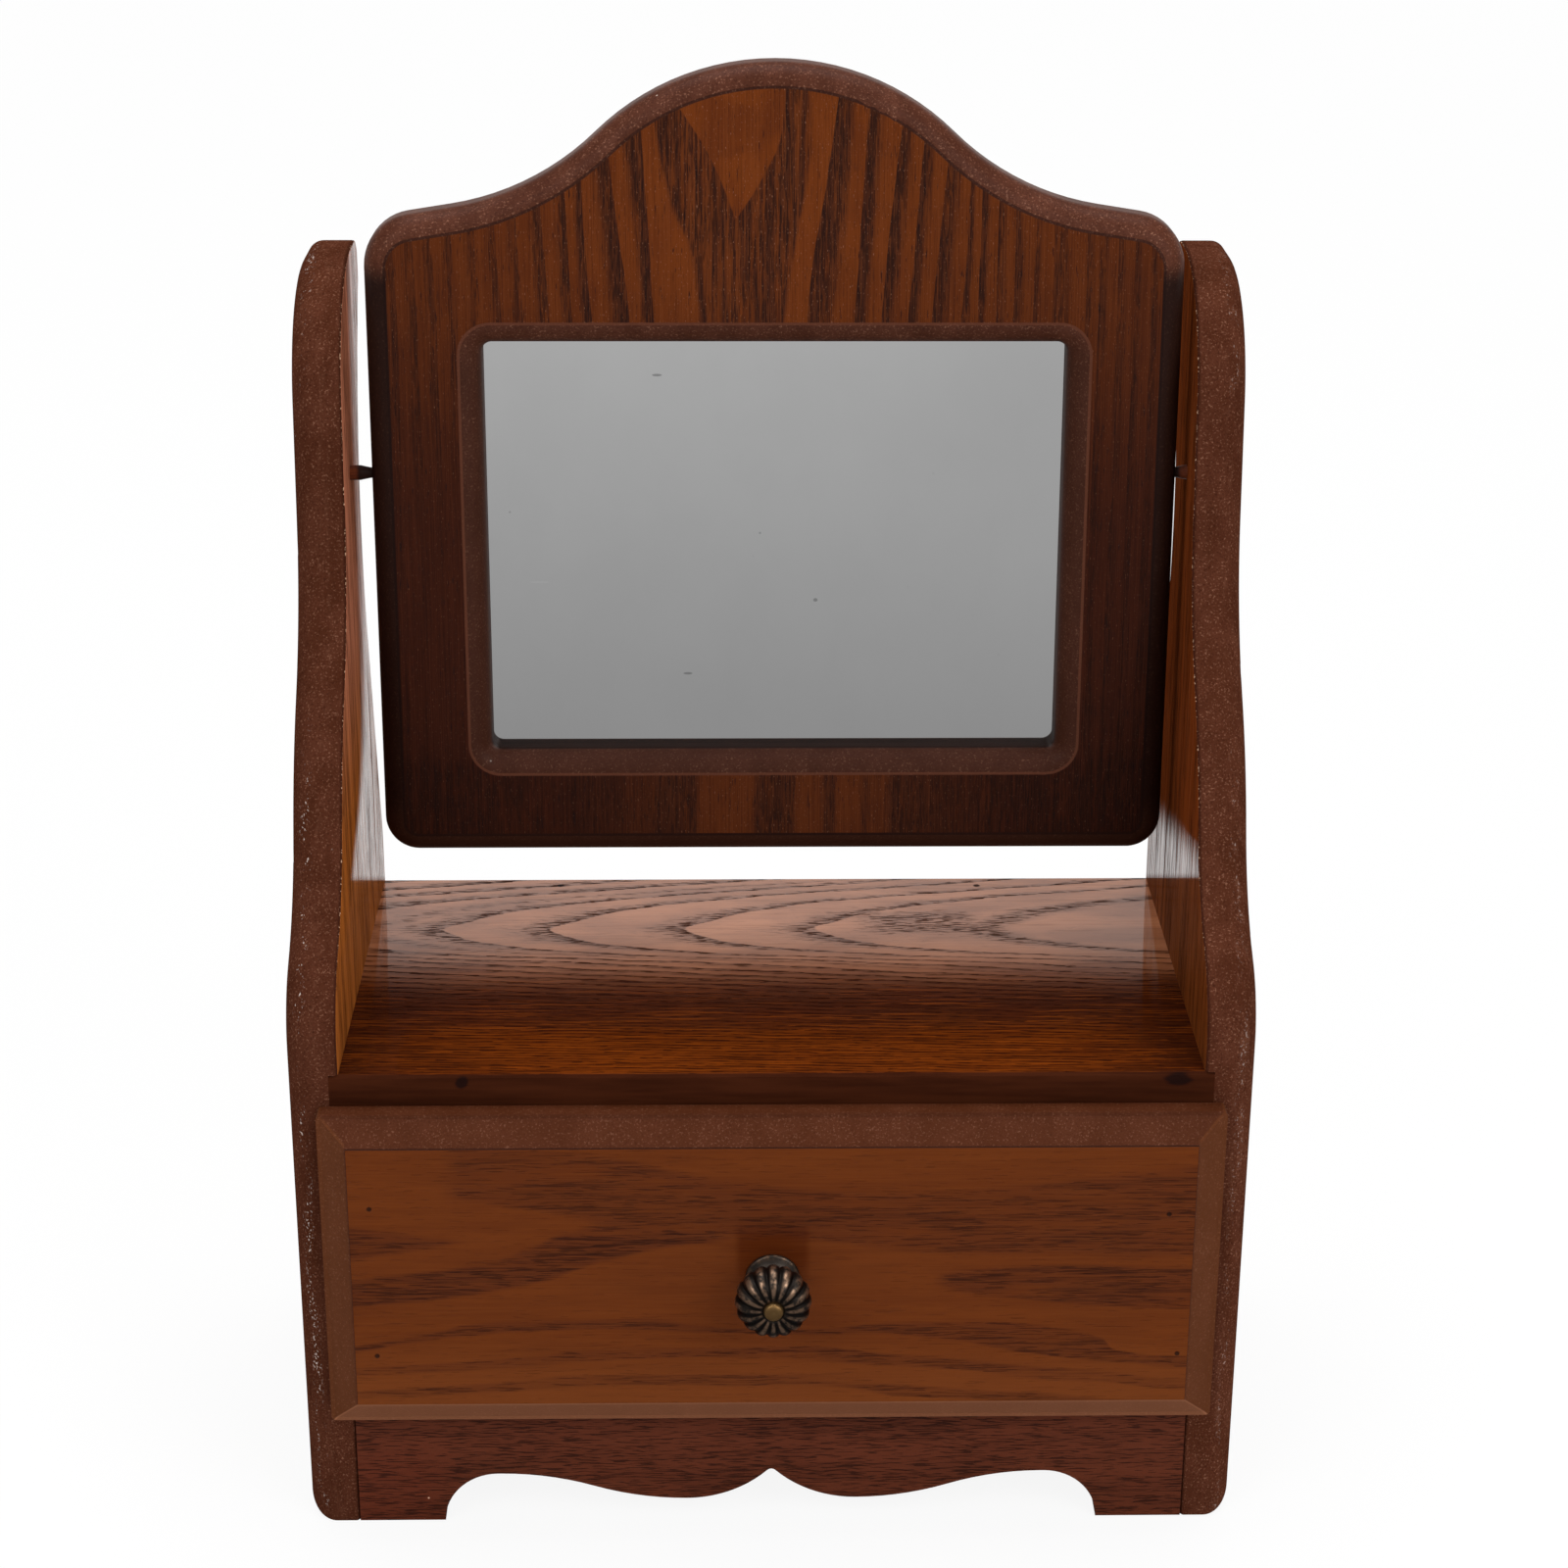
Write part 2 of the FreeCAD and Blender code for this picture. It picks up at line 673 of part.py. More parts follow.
group("pivot_pins", [
    pivot_pin("pivot_pin_left", f"panel_thickness - case_width / 2 - {LEFT_SEAT}", False),
    pivot_pin("pivot_pin_right", f"case_width / 2 - panel_thickness + {RIGHT_SEAT}", True),
])


# Drawer

DRAWER_BASE = "( floor_height + drawer_lift )"
DRAWER_START = "( case_front - front_gap )"
BOX_HALF = f"( {INNER_WIDTH} / 2 - drawer_side_gap )"
BOTTOM_Z = f"( {DRAWER_BASE} + drawer_bottom_rise )"
GROOVE_HEIGHT = "( drawer_bottom_thickness + groove_slack )"
KNOB_HEIGHT = "( drawer_front_base + drawer_front_height / 2 )"


def drawer_front():
    body = new_body("drawer_front", "( 0 - drawer_front_width ) / 2", DRAWER_START, "drawer_front_base")
    blank = rectangle(body, "front_blank", "XZ_Plane", "drawer_front_width", "drawer_front_height")
    base = pad(body, "front_blank_pad", blank, "front_edge_thickness")
    corners = (0.0, size("drawer_front_width"))
    dress(body, "PartDesign::Fillet", "front_corners", base, "drawer_front_corner",
          lambda edge: any(lies_at("X", place)(edge) for place in corners)
          and abs(edge.BoundBox.YLength - size("front_edge_thickness")) < SAME_PLACE)
    raised = rectangle(body, "front_raised", "XZ_Plane", "drawer_front_width - 2 * front_lip",
                       "drawer_front_height - 2 * front_lip", "front_edge_thickness",
                       "front_lip", "front_lip")
    bevel = body.newObject("PartDesign::Pad", "front_bevel")
    bevel.Profile = raised.sketch
    bind(bevel, "Length", "bevel_depth")
    bind(bevel, "TaperAngle", "-1 * atan( bevel_width / bevel_depth )")
    doc.recompute()
    inset = "( front_lip + bevel_width )"
    field = rectangle(body, "front_field", "XZ_Plane", f"drawer_front_width - 2 * {inset}",
                      f"drawer_front_height - 2 * {inset}", "front_edge_thickness + bevel_depth",
                      inset, inset)
    pad(body, "front_field_pad", field, "field_step")
    groove = rectangle(body, "front_groove", "XZ_Plane",
                       f"2 * {BOX_HALF} - 2 * drawer_side_thickness + 2 * groove_depth", GROOVE_HEIGHT,
                       "0", f"drawer_front_width / 2 - {BOX_HALF} + drawer_side_thickness - groove_depth",
                       f"{BOTTOM_Z} - groove_slack / 2 - drawer_front_base")
    pocket(body, "front_groove_cut", groove, "front_groove_depth", backwards=True)
    bore(body, "front_screw_hole", "XZ_Plane", "knob_screw_radius + screw_hole_slack",
         "front_edge_thickness + bevel_depth + field_step", "0",
         "drawer_front_width / 2", "drawer_front_height / 2")


def drawer_side(label, across, groove_at, cut_backwards):
    body = board(label, "drawer_side_thickness", "drawer_side_length", "drawer_side_height",
                 across, DRAWER_START, DRAWER_BASE)
    groove = rectangle(body, "bottom_groove", "YZ_Plane", "drawer_side_length", GROOVE_HEIGHT,
                       groove_at, "0", "drawer_bottom_rise - groove_slack / 2")
    pocket(body, label + "_groove", groove, "groove_depth", cut_backwards)


drawer_front()
drawer_side("drawer_side_left", f"0 - {BOX_HALF}", "drawer_side_thickness", False)
drawer_side("drawer_side_right", f"{BOX_HALF} - drawer_side_thickness", "0", True)

BACK_LIFT = f"( drawer_bottom_rise + {GROOVE_HEIGHT} )"
board("drawer_back", f"2 * {BOX_HALF} - 2 * drawer_side_thickness", "drawer_back_thickness",
      f"drawer_side_height - {BACK_LIFT}", f"drawer_side_thickness - {BOX_HALF}",
      f"{DRAWER_START} + drawer_side_length - drawer_back_thickness", f"{DRAWER_BASE} + {BACK_LIFT}")

board("drawer_bottom", f"2 * {BOX_HALF} - 2 * drawer_side_thickness + 2 * groove_depth - 2 * groove_slack",
      "drawer_side_length + front_groove_depth - groove_slack", "drawer_bottom_thickness",
      f"drawer_side_thickness - groove_depth + groove_slack - {BOX_HALF}",
      f"{DRAWER_START} - front_groove_depth + groove_slack", BOTTOM_Z)


# Knob: one turned casting with a flange, a fluted roll and a plain button

FRONT_FACE = f"( {DRAWER_START} - front_edge_thickness - bevel_depth - field_step )"

# The rings of the roll, in degrees round its section, from the one at the neck to the button's,
# and a petal's outline from one groove on: shares of half its width and of the grooves' depth.
ROLL_RING_ANGLES = (90.0, 65.0, 40.0, 15.0, -10.0, -35.0, -60.0, -85.0, -108.0)
PETAL_SHARES = ((-1.0, 1.0), (-0.55, 0.3), (0.0, 0.0), (0.55, 0.3))


def fluted_ring(angle):
    """The corners of one ring of the roll; the rings are alike but for size, so its faces are flat."""
    crest = size("roll_offset") + size("roll_radius") * math.cos(math.radians(angle))
    out = size("roll_rise") - size("roll_radius") * math.sin(math.radians(angle))
    groove_depth = size("flute_depth") * crest / (size("roll_offset") + size("roll_radius"))
    corners = []
    for petal in range(FLUTE_COUNT):
        for width_share, depth_share in PETAL_SHARES:
            around = math.pi * (2 * petal + width_share) / FLUTE_COUNT
            reach = crest - groove_depth * depth_share
            corners.append(FreeCAD.Vector(reach * math.cos(around), -out, reach * math.sin(around)))
    return corners


def fluted_roll():
    """The swollen head with its petals, closed by a flat face at the neck and at the button."""
    def face(corners):
        return Part.Face(Part.makePolygon(corners + corners[:1]))

    rings = [fluted_ring(angle) for angle in ROLL_RING_ANGLES]
    faces = [face(rings[0]), face(rings[-1])]
    for ring, further in zip(rings, rings[1:]):
        for corner in range(len(ring)):
            faces.append(face([ring[corner - 1], ring[corner], further[corner], further[corner - 1]]))
    roll = doc.addObject("Part::Feature", "fluted_roll")
    roll.Shape = Part.Solid(Part.Shell(faces))
    bind(roll, "Placement.Base.y", FRONT_FACE)
    bind(roll, "Placement.Base.z", KNOB_HEIGHT)
    return roll


def knob_core():
    """The turned middle of the knob: flange, neck and button, and the screw's hole up from its foot."""
    core = new_body("knob_core", "0", FRONT_FACE, KNOB_HEIGHT)
    sub_parts.remove(core)
    points = (
        ("knob_screw_radius", "0"),
        ("flange_radius", "0"),
        ("flange_radius", "flange_thickness"),
        ("neck_radius", "neck_start"),
        ("neck_radius", "roll_rise"),
        ("button_radius", "roll_rise"),
        ("button_radius", "knob_reach - button_ease"),
        ("button_radius - button_ease", "knob_reach"),
        ("0", "knob_reach"),
        ("0", "knob_screw_depth"),
        ("knob_screw_radius", "knob_screw_depth"),
    )
    corners = [FreeCAD.Vector(worked_out(across), -worked_out(out), 0) for across, out in points]
    outline = Outline(core, "knob_profile", "XY_Plane")
    for number, corner in enumerate(corners):
        outline.sketch.addGeometry(Part.LineSegment(corner, corners[(number + 1) % len(corners)]), False)
    for number, (across, out) in enumerate(points):
        outline.rule("Coincident", number, 2, (number + 1) % len(points), 1)
        if across == "0":
            outline.rule("PointOnObject", number, 1, -2)
        else:
            outline.dimension("DistanceX", across, -1, 1, number, 1)
        if out == "0":
            outline.rule("PointOnObject", number, 1, -1)
        else:
            outline.dimension("DistanceY", out, number, 1, -1, 1)
    turned = core.newObject("PartDesign::Revolution", "knob_turned")
    turned.Profile = outline.sketch
    turned.ReferenceAxis = (outline.sketch, ["V_Axis"])
    turned.Angle = FULL_TURN
    doc.recompute()
    return core


knob = doc.addObject("Part::Fuse", "drawer_knob")
knob.Label = "drawer_knob"
knob.Base = knob_core()
knob.Tool = fluted_roll()
sub_parts.append(knob)


# Mirror frame: the outline is walked from the foot, with the arch as three smooth curves

def frame_outline(body):
    half = size("frame_width") / 2
    foot = size("frame_foot_radius")
    shoulder_heading = 2 * UPRIGHT - size("shoulder_angle")
    arch_heading = 2 * UPRIGHT - size("arch_angle")
    corner = arc_run(size("shoulder_radius"), UPRIGHT, shoulder_heading - UPRIGHT)
    hollow = arc_run(size("arch_hollow_radius"), shoulder_heading, arch_heading - shoulder_heading)
    crown = arc_run(size("arch_radius"), arch_heading, size("arch_angle"))
    run_left = half + corner[0] + hollow[0] + crown[0]
    shoulder_length = run_left / math.cos(math.radians(size("shoulder_angle")))
    rise = corner[1] + shoulder_length * math.sin(math.radians(size("shoulder_angle"))) + hollow[1] + crown[1]
    side_length = size("frame_above") + size("frame_below") - foot - rise

    outline = Outline(body, "frame_outline", "XZ_Plane", "0 - frame_thickness / 2",
                      (foot - half, -size("frame_below")))
    base = outline.line(2 * (half - foot))
    outline.arc("frame_foot_radius", UPRIGHT)
    right_side = outline.line(side_length)
    outline.arc("shoulder_radius", shoulder_heading - UPRIGHT)
    outline.line(shoulder_length)
    outline.arc("arch_hollow_radius", arch_heading - shoulder_heading)
    arch = outline.arc("arch_radius", 2 * size("arch_angle"))
    outline.arc("arch_hollow_radius", arch_heading - shoulder_heading)
    outline.line(shoulder_length)
    outline.arc("shoulder_radius", shoulder_heading - UPRIGHT)
    left_side = outline.line(side_length)
    outline.arc("frame_foot_radius", UPRIGHT)
    outline.close(smooth=True)
    outline.rule("Vertical", right_side)
    outline.rule("Vertical", left_side)
    outline.rule("Symmetric", base, 1, base, 2, -2)
    outline.rule("PointOnObject", arch, 3, -2)
    outline.dimension("DistanceX", "frame_width", left_side, 1, right_side, 1)
    outline.dimension("DistanceY", "frame_below", base, 1, -1, 1)
    outline.dimension("DistanceY", "frame_above - arch_radius", -1, 1, arch, 3)
    return outline


def mirror_frame():
    body = new_body("mirror_frame")
    hang_on_pivot(body)
    blank = pad(body, "frame_blank", frame_outline(body), "frame_thickness")
    opening = rectangle(body, "opening_outline", "XZ_Plane", "opening_width",
                        "opening_above + opening_below", "frame_thickness / 2",
                        "( 0 - opening_width ) / 2", "0 - opening_below")
    cut = pocket(body, "opening_cut", opening, "frame_thickness")
    half_opening = size("opening_width") / 2
    corners = dress(body, "PartDesign::Fillet", "opening_corners", cut, "opening_corner",
                    lambda edge: abs(edge.BoundBox.YLength - size("frame_thickness")) < SAME_PLACE
                    and any(lies_at("X", place)(edge) for place in (-half_opening, half_opening)))
    dress(body, "PartDesign::Fillet", "frame_front_round", corners, "frame_edge_round",
          lies_at("Y", -size("frame_thickness") / 2))
    overlap = "glass_overlap"
    rebate = rectangle(body, "rebate_outline", "XZ_Plane", f"opening_width + 2 * {overlap}",
                       f"opening_above + opening_below + 2 * {overlap}", "0 - frame_thickness / 2",
                       f"( 0 - opening_width ) / 2 - {overlap}", f"0 - opening_below - {overlap}")
    pocket(body, "glass_rebate", rebate, "glass_thickness", backwards=True)
    for name, start in (("left_journal_hole", "( 0 - frame_width ) / 2"),
                        ("right_journal_hole", "frame_width / 2 - journal_length - journal_hole_spare")):
        bore(body, name, "YZ_Plane", "journal_radius + journal_clearance",
             "journal_length + journal_hole_spare", start)


def mirror_plate(label, margin, thickness, front):
    """A flat plate behind the opening, larger than it by a margin all round."""
    body = new_body(label)
    hang_on_pivot(body)
    outline = rectangle(body, label + "_outline", "XZ_Plane", f"opening_width + 2 * ( {margin} )",
                        f"opening_above + opening_below + 2 * ( {margin} )", f"0 - ( {front} )",
                        f"( 0 - opening_width ) / 2 - ( {margin} )", f"0 - opening_below - ( {margin} )")
    pad(body, label + "_plate", outline, thickness, backwards=True)


mirror_frame()
mirror_plate("mirror_glass", "glass_overlap - glass_slack", "glass_thickness",
             "frame_thickness / 2 - glass_thickness")
mirror_plate("mirror_backing", "backing_overlap", "backing_thickness", "frame_thickness / 2")


# Brads and screws, each kind one group of separate solids

def rod(name, radius, length, place, axis, flats=WIRE_SIDE_COUNT):
    """A rod of drawn wire from its place along an axis; place holds three formulas."""
    item = doc.addObject("Part::Prism", name)
    item.Placement.Rotation = FreeCAD.Rotation(FreeCAD.Vector(0, 0, 1), FreeCAD.Vector(*axis))
    item.Polygon = flats
    bind(item, "Circumradius", radius)
    bind(item, "Height", length)
    for letter, formula in zip("xyz", place):
        bind(item, f"Placement.Base.{letter}", formula)
    return item


def screw(name, kind, length, place):
    """A flat-headed screw that is driven to the front; place is the middle of its head's seat."""
    joined = doc.addObject("Part::Fuse", name)
    joined.Label = name
    joined.Base = rod(name + "_shank", kind + "_radius", length, place, (0, -1, 0))
    joined.Tool = rod(name + "_head", kind + "_head_radius", kind + "_head_height", place, (0, 1, 0),
                      HEAD_SIDE_COUNT)
    return joined


def brads_from_both_sides(label, length, face, places):
    """Brads driven inward through both sides of a box; face is the half width they start from."""
    brads = []
    for number, (back, up) in enumerate(places):
        for side, axis in ((-1, (1, 0, 0)), (1, (-1, 0, 0))):
            start = f"{side} * ( {face} - brad_set )"
            brads.append(rod(f"{label}_{number}_{side + 1}", "brad_radius", length, (start, back, up), axis))
    return group(label, brads)


brads_from_both_sides("case_brads", "brad_length", "case_width / 2", (
    ("case_front + panel_depth / 4", "shelf_height - shelf_thickness / 2"),
    ("case_front + panel_depth * 3 / 4", "shelf_height - shelf_thickness / 2"),
    ("case_front + panel_depth / 4", "floor_height - floor_thickness / 2"),
    ("case_front + panel_depth * 3 / 4", "floor_height - floor_thickness / 2"),
    ("case_front + apron_thickness / 2", "floor_height * 3 / 8"),
    ("case_front + panel_depth - back_thickness / 2", "floor_height + floor_thickness"),
    ("case_front + panel_depth - back_thickness / 2", "shelf_height - 2 * shelf_thickness"),
))

brads_from_both_sides("drawer_back_brads", "short_brad_length", BOX_HALF, [
    (f"{DRAWER_START} + drawer_side_length - drawer_back_thickness / 2",
     f"{DRAWER_BASE} + {BACK_LIFT} + ( drawer_side_height - {BACK_LIFT} ) * {share}")
    for share in (0.25, 0.75)
])

group("shelf_brads", [
    rod(f"shelf_brad_{side + 1}", "brad_radius", "brad_length",
        (f"{side} * shelf_brad_spread / 2", "case_front + panel_depth - shelf_brad_inset",
         "shelf_height - brad_set"), (0, 0, -1))
    for side in (-1, 1)
])

group("drawer_front_brads", [
    rod(f"front_brad_{side + 1}_{row}", "brad_radius", "short_brad_length",
        (f"{side} * ( {BOX_HALF} - drawer_side_thickness / 2 )", f"{FRONT_FACE} + brad_set",
         f"{DRAWER_BASE} + {height}"), (0, 1, 0))
    for side in (-1, 1)
    for row, height in enumerate(("front_brad_rise", "drawer_side_height - front_brad_drop"))
])


sub_parts.append(screw("knob_screw", "knob_screw",
                       "front_edge_thickness + bevel_depth + field_step + knob_screw_depth",
                       ("0", DRAWER_START, KNOB_HEIGHT)))

SCREW_RING = "( backing_overlap - backing_screw_inset )"
backing_screws = group("backing_screws", [
    screw(f"backing_screw_{place}", "backing_screw", "backing_screw_length",
          (across, "frame_thickness / 2 + backing_thickness", up))
    for place, (across, up) in enumerate(
        (across, up)
        for across in (f"0 - ( opening_width / 2 + {SCREW_RING} )", "0",
                       f"opening_width / 2 + {SCREW_RING}")
        for up in (f"0 - ( opening_below + {SCREW_RING} )", f"opening_above + {SCREW_RING}"))
])
hang_on_pivot(backing_screws)


# Checks, then one file for each piece

doc.recompute()
for item in doc.Objects:
    if "Invalid" in item.State or "Error" in item.State:
        raise RuntimeError(f"{item.Label} has failed: {item.State}")
for piece in sub_parts:
    if piece.Shape.isNull() or not piece.Shape.isValid():
        raise RuntimeError(f"{piece.Label} has no valid shape")

os.makedirs("parts", exist_ok=True)
for piece in sub_parts:
    piece.Shape.exportStep(os.path.join("parts", piece.Label + ".step"))
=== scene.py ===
import json
import math
from functools import reduce

import bpy
from mathutils import Matrix, Vector


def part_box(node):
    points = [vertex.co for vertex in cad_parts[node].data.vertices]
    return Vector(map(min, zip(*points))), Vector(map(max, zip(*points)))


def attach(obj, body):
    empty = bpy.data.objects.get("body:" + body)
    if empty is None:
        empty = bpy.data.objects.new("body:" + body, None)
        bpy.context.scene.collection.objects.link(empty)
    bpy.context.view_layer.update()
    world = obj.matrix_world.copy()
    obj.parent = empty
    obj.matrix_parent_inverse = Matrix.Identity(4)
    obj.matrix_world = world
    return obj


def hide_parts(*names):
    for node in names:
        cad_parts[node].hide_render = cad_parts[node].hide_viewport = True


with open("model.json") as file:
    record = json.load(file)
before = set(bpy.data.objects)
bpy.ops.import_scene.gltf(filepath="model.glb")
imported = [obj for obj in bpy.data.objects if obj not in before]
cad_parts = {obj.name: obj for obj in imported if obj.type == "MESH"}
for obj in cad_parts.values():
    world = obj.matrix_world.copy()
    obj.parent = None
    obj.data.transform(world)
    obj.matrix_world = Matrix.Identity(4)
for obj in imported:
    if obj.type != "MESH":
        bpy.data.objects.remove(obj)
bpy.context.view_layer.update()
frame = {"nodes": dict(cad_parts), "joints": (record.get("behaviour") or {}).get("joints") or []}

# A tabletop makeup mirror: stained veneer over fibreboard, under gloss varnish.
# The scene is in metres. The object's sizes and the places inside its finishes are in millimetres, and
# each finish moves with its board.

MM = 0.001
ACROSS, DEEP, UP = range(3)
LOWEST, HIGHEST = range(2)


def cad_side(node, end, axis):
    """Where a CAD node ends along an axis, in millimetres."""
    return round(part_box(node)[end][axis] / MM, 2)


def cad_middle(node, axis):
    return (cad_side(node, LOWEST, axis) + cad_side(node, HIGHEST, axis)) / 2


CASE_FRONT = cad_side("side_panel_right", LOWEST, DEEP)
PANEL_INNER_FACE = cad_side("side_panel_right", LOWEST, ACROSS)
PANEL_OUTER_FACE = cad_side("side_panel_right", HIGHEST, ACROSS)
SHELF_TOP = cad_side("shelf_board", HIGHEST, UP)
DRAWER_FIELD_FACE = cad_side("drawer_front", LOWEST, DEEP)
# The veneered field of the drawer front ends this far in from the board's sides, foot and head.
DRAWER_FIELD_EDGE = cad_side("drawer_front", HIGHEST, ACROSS) - 7.1
DRAWER_FIELD_FOOT = cad_side("drawer_front", LOWEST, UP) + 6.8
DRAWER_FIELD_HEAD = cad_side("drawer_front", HIGHEST, UP) - 6.2
KNOB_HEIGHT = cad_middle("drawer_knob", UP)
# The mirror's pivot, how far the frame hangs to the right of the middle, and how it leans at rest
PIVOT = [place / MM for joint in frame["joints"] if joint["name"] == "mirror_tilt"
         for place in joint["pos_m"]]
FRAME_OFFSET = cad_middle("mirror_frame", ACROSS)
MIRROR_LEAN = math.radians(2.0)
# The frame's front face is this far in front of the pivot.
FRAME_FRONT_DEPTH = 6.0


# Shader tools

class Wire:
    """A value inside a finish; arithmetic on it adds Math nodes."""

    def __init__(self, finish, socket):
        self.finish = finish
        self.socket = socket

    def _math(self, operation, *values):
        return self.finish.add("ShaderNodeMath", {"operation": operation}, dict(enumerate(values)))

    def __add__(self, other):
        return self._math("ADD", self, other)

    def __sub__(self, other):
        return self._math("SUBTRACT", self, other)

    def __mul__(self, other):
        return self._math("MULTIPLY", self, other)

    def __truediv__(self, other):
        return self._math("DIVIDE", self, other)

    def __pow__(self, other):
        return self._math("POWER", self, other)

    def __rsub__(self, other):
        return self._math("SUBTRACT", other, self)

    def __abs__(self):
        return self._math("ABSOLUTE", self)

    __radd__ = __add__
    __rmul__ = __mul__

    def least(self, other):
        return self._math("MINIMUM", self, other)

    def most(self, other):
        return self._math("MAXIMUM", self, other)

    def cosine(self):
        return self._math("COSINE", self)

    def rise(self, low, high):
        """0 below low and 1 above high, smooth between them; low may be the greater of the two."""
        return self.finish.add("ShaderNodeMapRange", {"interpolation_type": "SMOOTHSTEP"},
                               {"Value": self, "From Min": low, "From Max": high})

    def band(self, low, high, soft):
        """1 between low and high, with soft edges."""
        return (self - low).rise(-soft, soft) * (high - self).rise(-soft, soft)


def greatest(values):
    """The greatest of several values at each place."""
    return reduce(Wire.most, values)


class Finish:
    """The nodes of one material, or of the world."""

    def __init__(self, name, world=None):
        self.owner = world or bpy.data.materials.new(name)
        self.owner.use_nodes = True
        self.tree = self.owner.node_tree
        self.tree.nodes.clear()

    def add(self, kind, settings, sockets, output=0):
        """One node: its settings are set first, then the values or links of its sockets. Gives one output."""
        node = self.tree.nodes.new(kind)
        for name, value in settings.items():
            setattr(node, name, value)
        for name, value in sockets.items():
            if isinstance(value, Wire):
                self.tree.links.new(value.socket, node.inputs[name])
            else:
                node.inputs[name].default_value = value
        return Wire(self, node.outputs[output]) if len(node.outputs) else None

    def place(self):
        """The place on the object in millimetres: right, back and up."""
        point = self.add("ShaderNodeTexCoord", {}, {}, "Object")
        scaled = self.add("ShaderNodeVectorMath", {"operation": "SCALE"}, {0: point, "Scale": 1 / MM})
        return tuple(self.add("ShaderNodeSeparateXYZ", {}, {0: scaled}, axis) for axis in "XYZ")

    def vector(self, x, y, z):
        return self.add("ShaderNodeCombineXYZ", {}, {0: x, 1: y, 2: z})

    def noise(self, point, detail=2.0, roughness=0.5):
        return self.add("ShaderNodeTexNoise", {}, {"Vector": point, "Scale": 1.0, "Detail": detail,
                                                   "Roughness": roughness})

    def mix(self, share, first, second):
        """Two colours mixed, the second by its share."""
        return self.add("ShaderNodeMix", {"data_type": "RGBA"}, {0: share, 6: first, 7: second}, 2)

    def curve(self, value, points):
        """A smooth line through given points; it's level before the first, and at the last it goes
        on at the greatest of their values."""
        first, last = points[0][0], points[-1][0]
        low, high = min(point[1] for point in points), max(point[1] for point in points)
        reach = high - low
        start, *inner, end = [((across - first) / (last - first), (up - low) / reach)
                              for across, up in points]
        node = self.tree.nodes.new("ShaderNodeFloatCurve")
        line = node.mapping.curves[0]
        line.points[0].location = start
        # One point is added for the end, and the node's own last point stays past it, at the top.
        line.points.new(inner[0][0] / 2, 0.0)
        for place in inner:
            line.points.new(*place)
        line.points[1].location = end
        node.mapping.update()
        share = (value - first) / (last - first)
        self.tree.links.new(share.socket, node.inputs["Value"])
        return Wire(self, node.outputs[0]) * reach + low

    def specks(self, point, spacing, radius, share):
        """Scattered small round specks: one in each share of the cells."""
        cells = self.add("ShaderNodeVectorMath", {"operation": "SCALE"}, {0: point, "Scale": 1 / spacing})
        near = self.add("ShaderNodeTexVoronoi", {}, {"Vector": cells, "Scale": 1.0}, "Distance")
        tint = self.add("ShaderNodeTexVoronoi", {}, {"Vector": cells, "Scale": 1.0}, "Color")
        chance = self.add("ShaderNodeSeparateColor", {}, {0: tint}, 0)
        size = radius / spacing
        return near.rise(size * 1.3, size * 0.5) * chance.rise(1 - share, 1 - share * 0.9)

    def surface(self, colour, roughness, height, depth, gloss):
        """The closing shader; gloss gives the sockets of the varnish."""
        bump = self.add("ShaderNodeBump", {}, {"Height": height, "Strength": 1.0, "Distance": depth * MM})
        sockets = {"Base Color": colour, "Roughness": roughness, "Normal": bump}
        shader = self.add("ShaderNodeBsdfPrincipled", {}, {**sockets, **gloss})
        self.add("ShaderNodeOutputMaterial", {}, {"Surface": shader})
        return self.owner


def stain(red, green, blue):
    """A colour as it looks, from 0 to 255, as the light it gives back."""
    def light(value):
        share = value / 255
        return share / 12.92 if share <= 0.04045 else ((share + 0.055) / 1.055) ** 2.4
    return light(red), light(green), light(blue), 1.0


def grey(lightness):
    return lightness, lightness, lightness, 1.0


BLACK = grey(0.0)
WHITE = grey(1.0)


def dress(node, material):
    """Gives a CAD node one material in place of its own."""
    slots = frame["nodes"][node].data.materials
    slots.clear()
    slots.append(material)


# Wood

# The varnish where it is dull, and the board under it where it shines as a coat
VARNISH = {"Specular IOR Level": 0.06}
UNDER_COAT = {"Specular IOR Level": 0.0}


def pores(finish, along, across, deep, density, length, width):
    """Short dark dashes along the grain, closer together where the density is high."""
    point = finish.vector(along / length, across / width, deep / width)
    threshold = 0.66 - density * 0.16
    return (finish.noise(point, 1.5, 0.55) - threshold).rise(0.0, 0.05)


def fibres(finish, along, across, deep, width=0.22):
    """Fine lines along the grain."""
    return finish.noise(finish.vector(along / 30.0, across / width, deep / width), 2.0, 0.6)


def waver(finish, along, across, deep, reach, length=45.0, width=9.0):
    """How far a grain line strays from its course."""
    point = finish.vector(along / length, across / width, deep / width)
    return (finish.noise(point, 3.0, 0.55) - 0.5) * (2 * reach)


def fibreboard(finish, x, y, z):
    """The stained, speckled edge of the board: its colour and its height."""
    point = finish.vector(x, y, z)
    grit = finish.noise(finish.vector(x / 0.55, y / 0.55, z / 0.55), 2.0, 0.7)
    clouds = finish.noise(finish.vector(x / 7.0, y / 7.0, z / 16.0), 3.0, 0.6)
    colour = finish.mix(clouds.rise(0.32, 0.7), stain(70, 36, 23), stain(82, 45, 31))
    colour = finish.mix(grit.rise(0.58, 0.68) * (clouds * 0.7 + 0.1), colour, stain(150, 106, 84))
    colour = finish.mix(grit.rise(0.44, 0.32) * 0.55, colour, stain(44, 20, 13))
    # Pale flecks: painted glints.
    flecks = finish.specks(point, 9.0, 0.24, 0.3)
    return finish.mix(flecks * 0.7, colour, stain(205, 190, 178)), grit * 0.6 + clouds * 0.3


# Drawer front: dark growth bands in the veneer

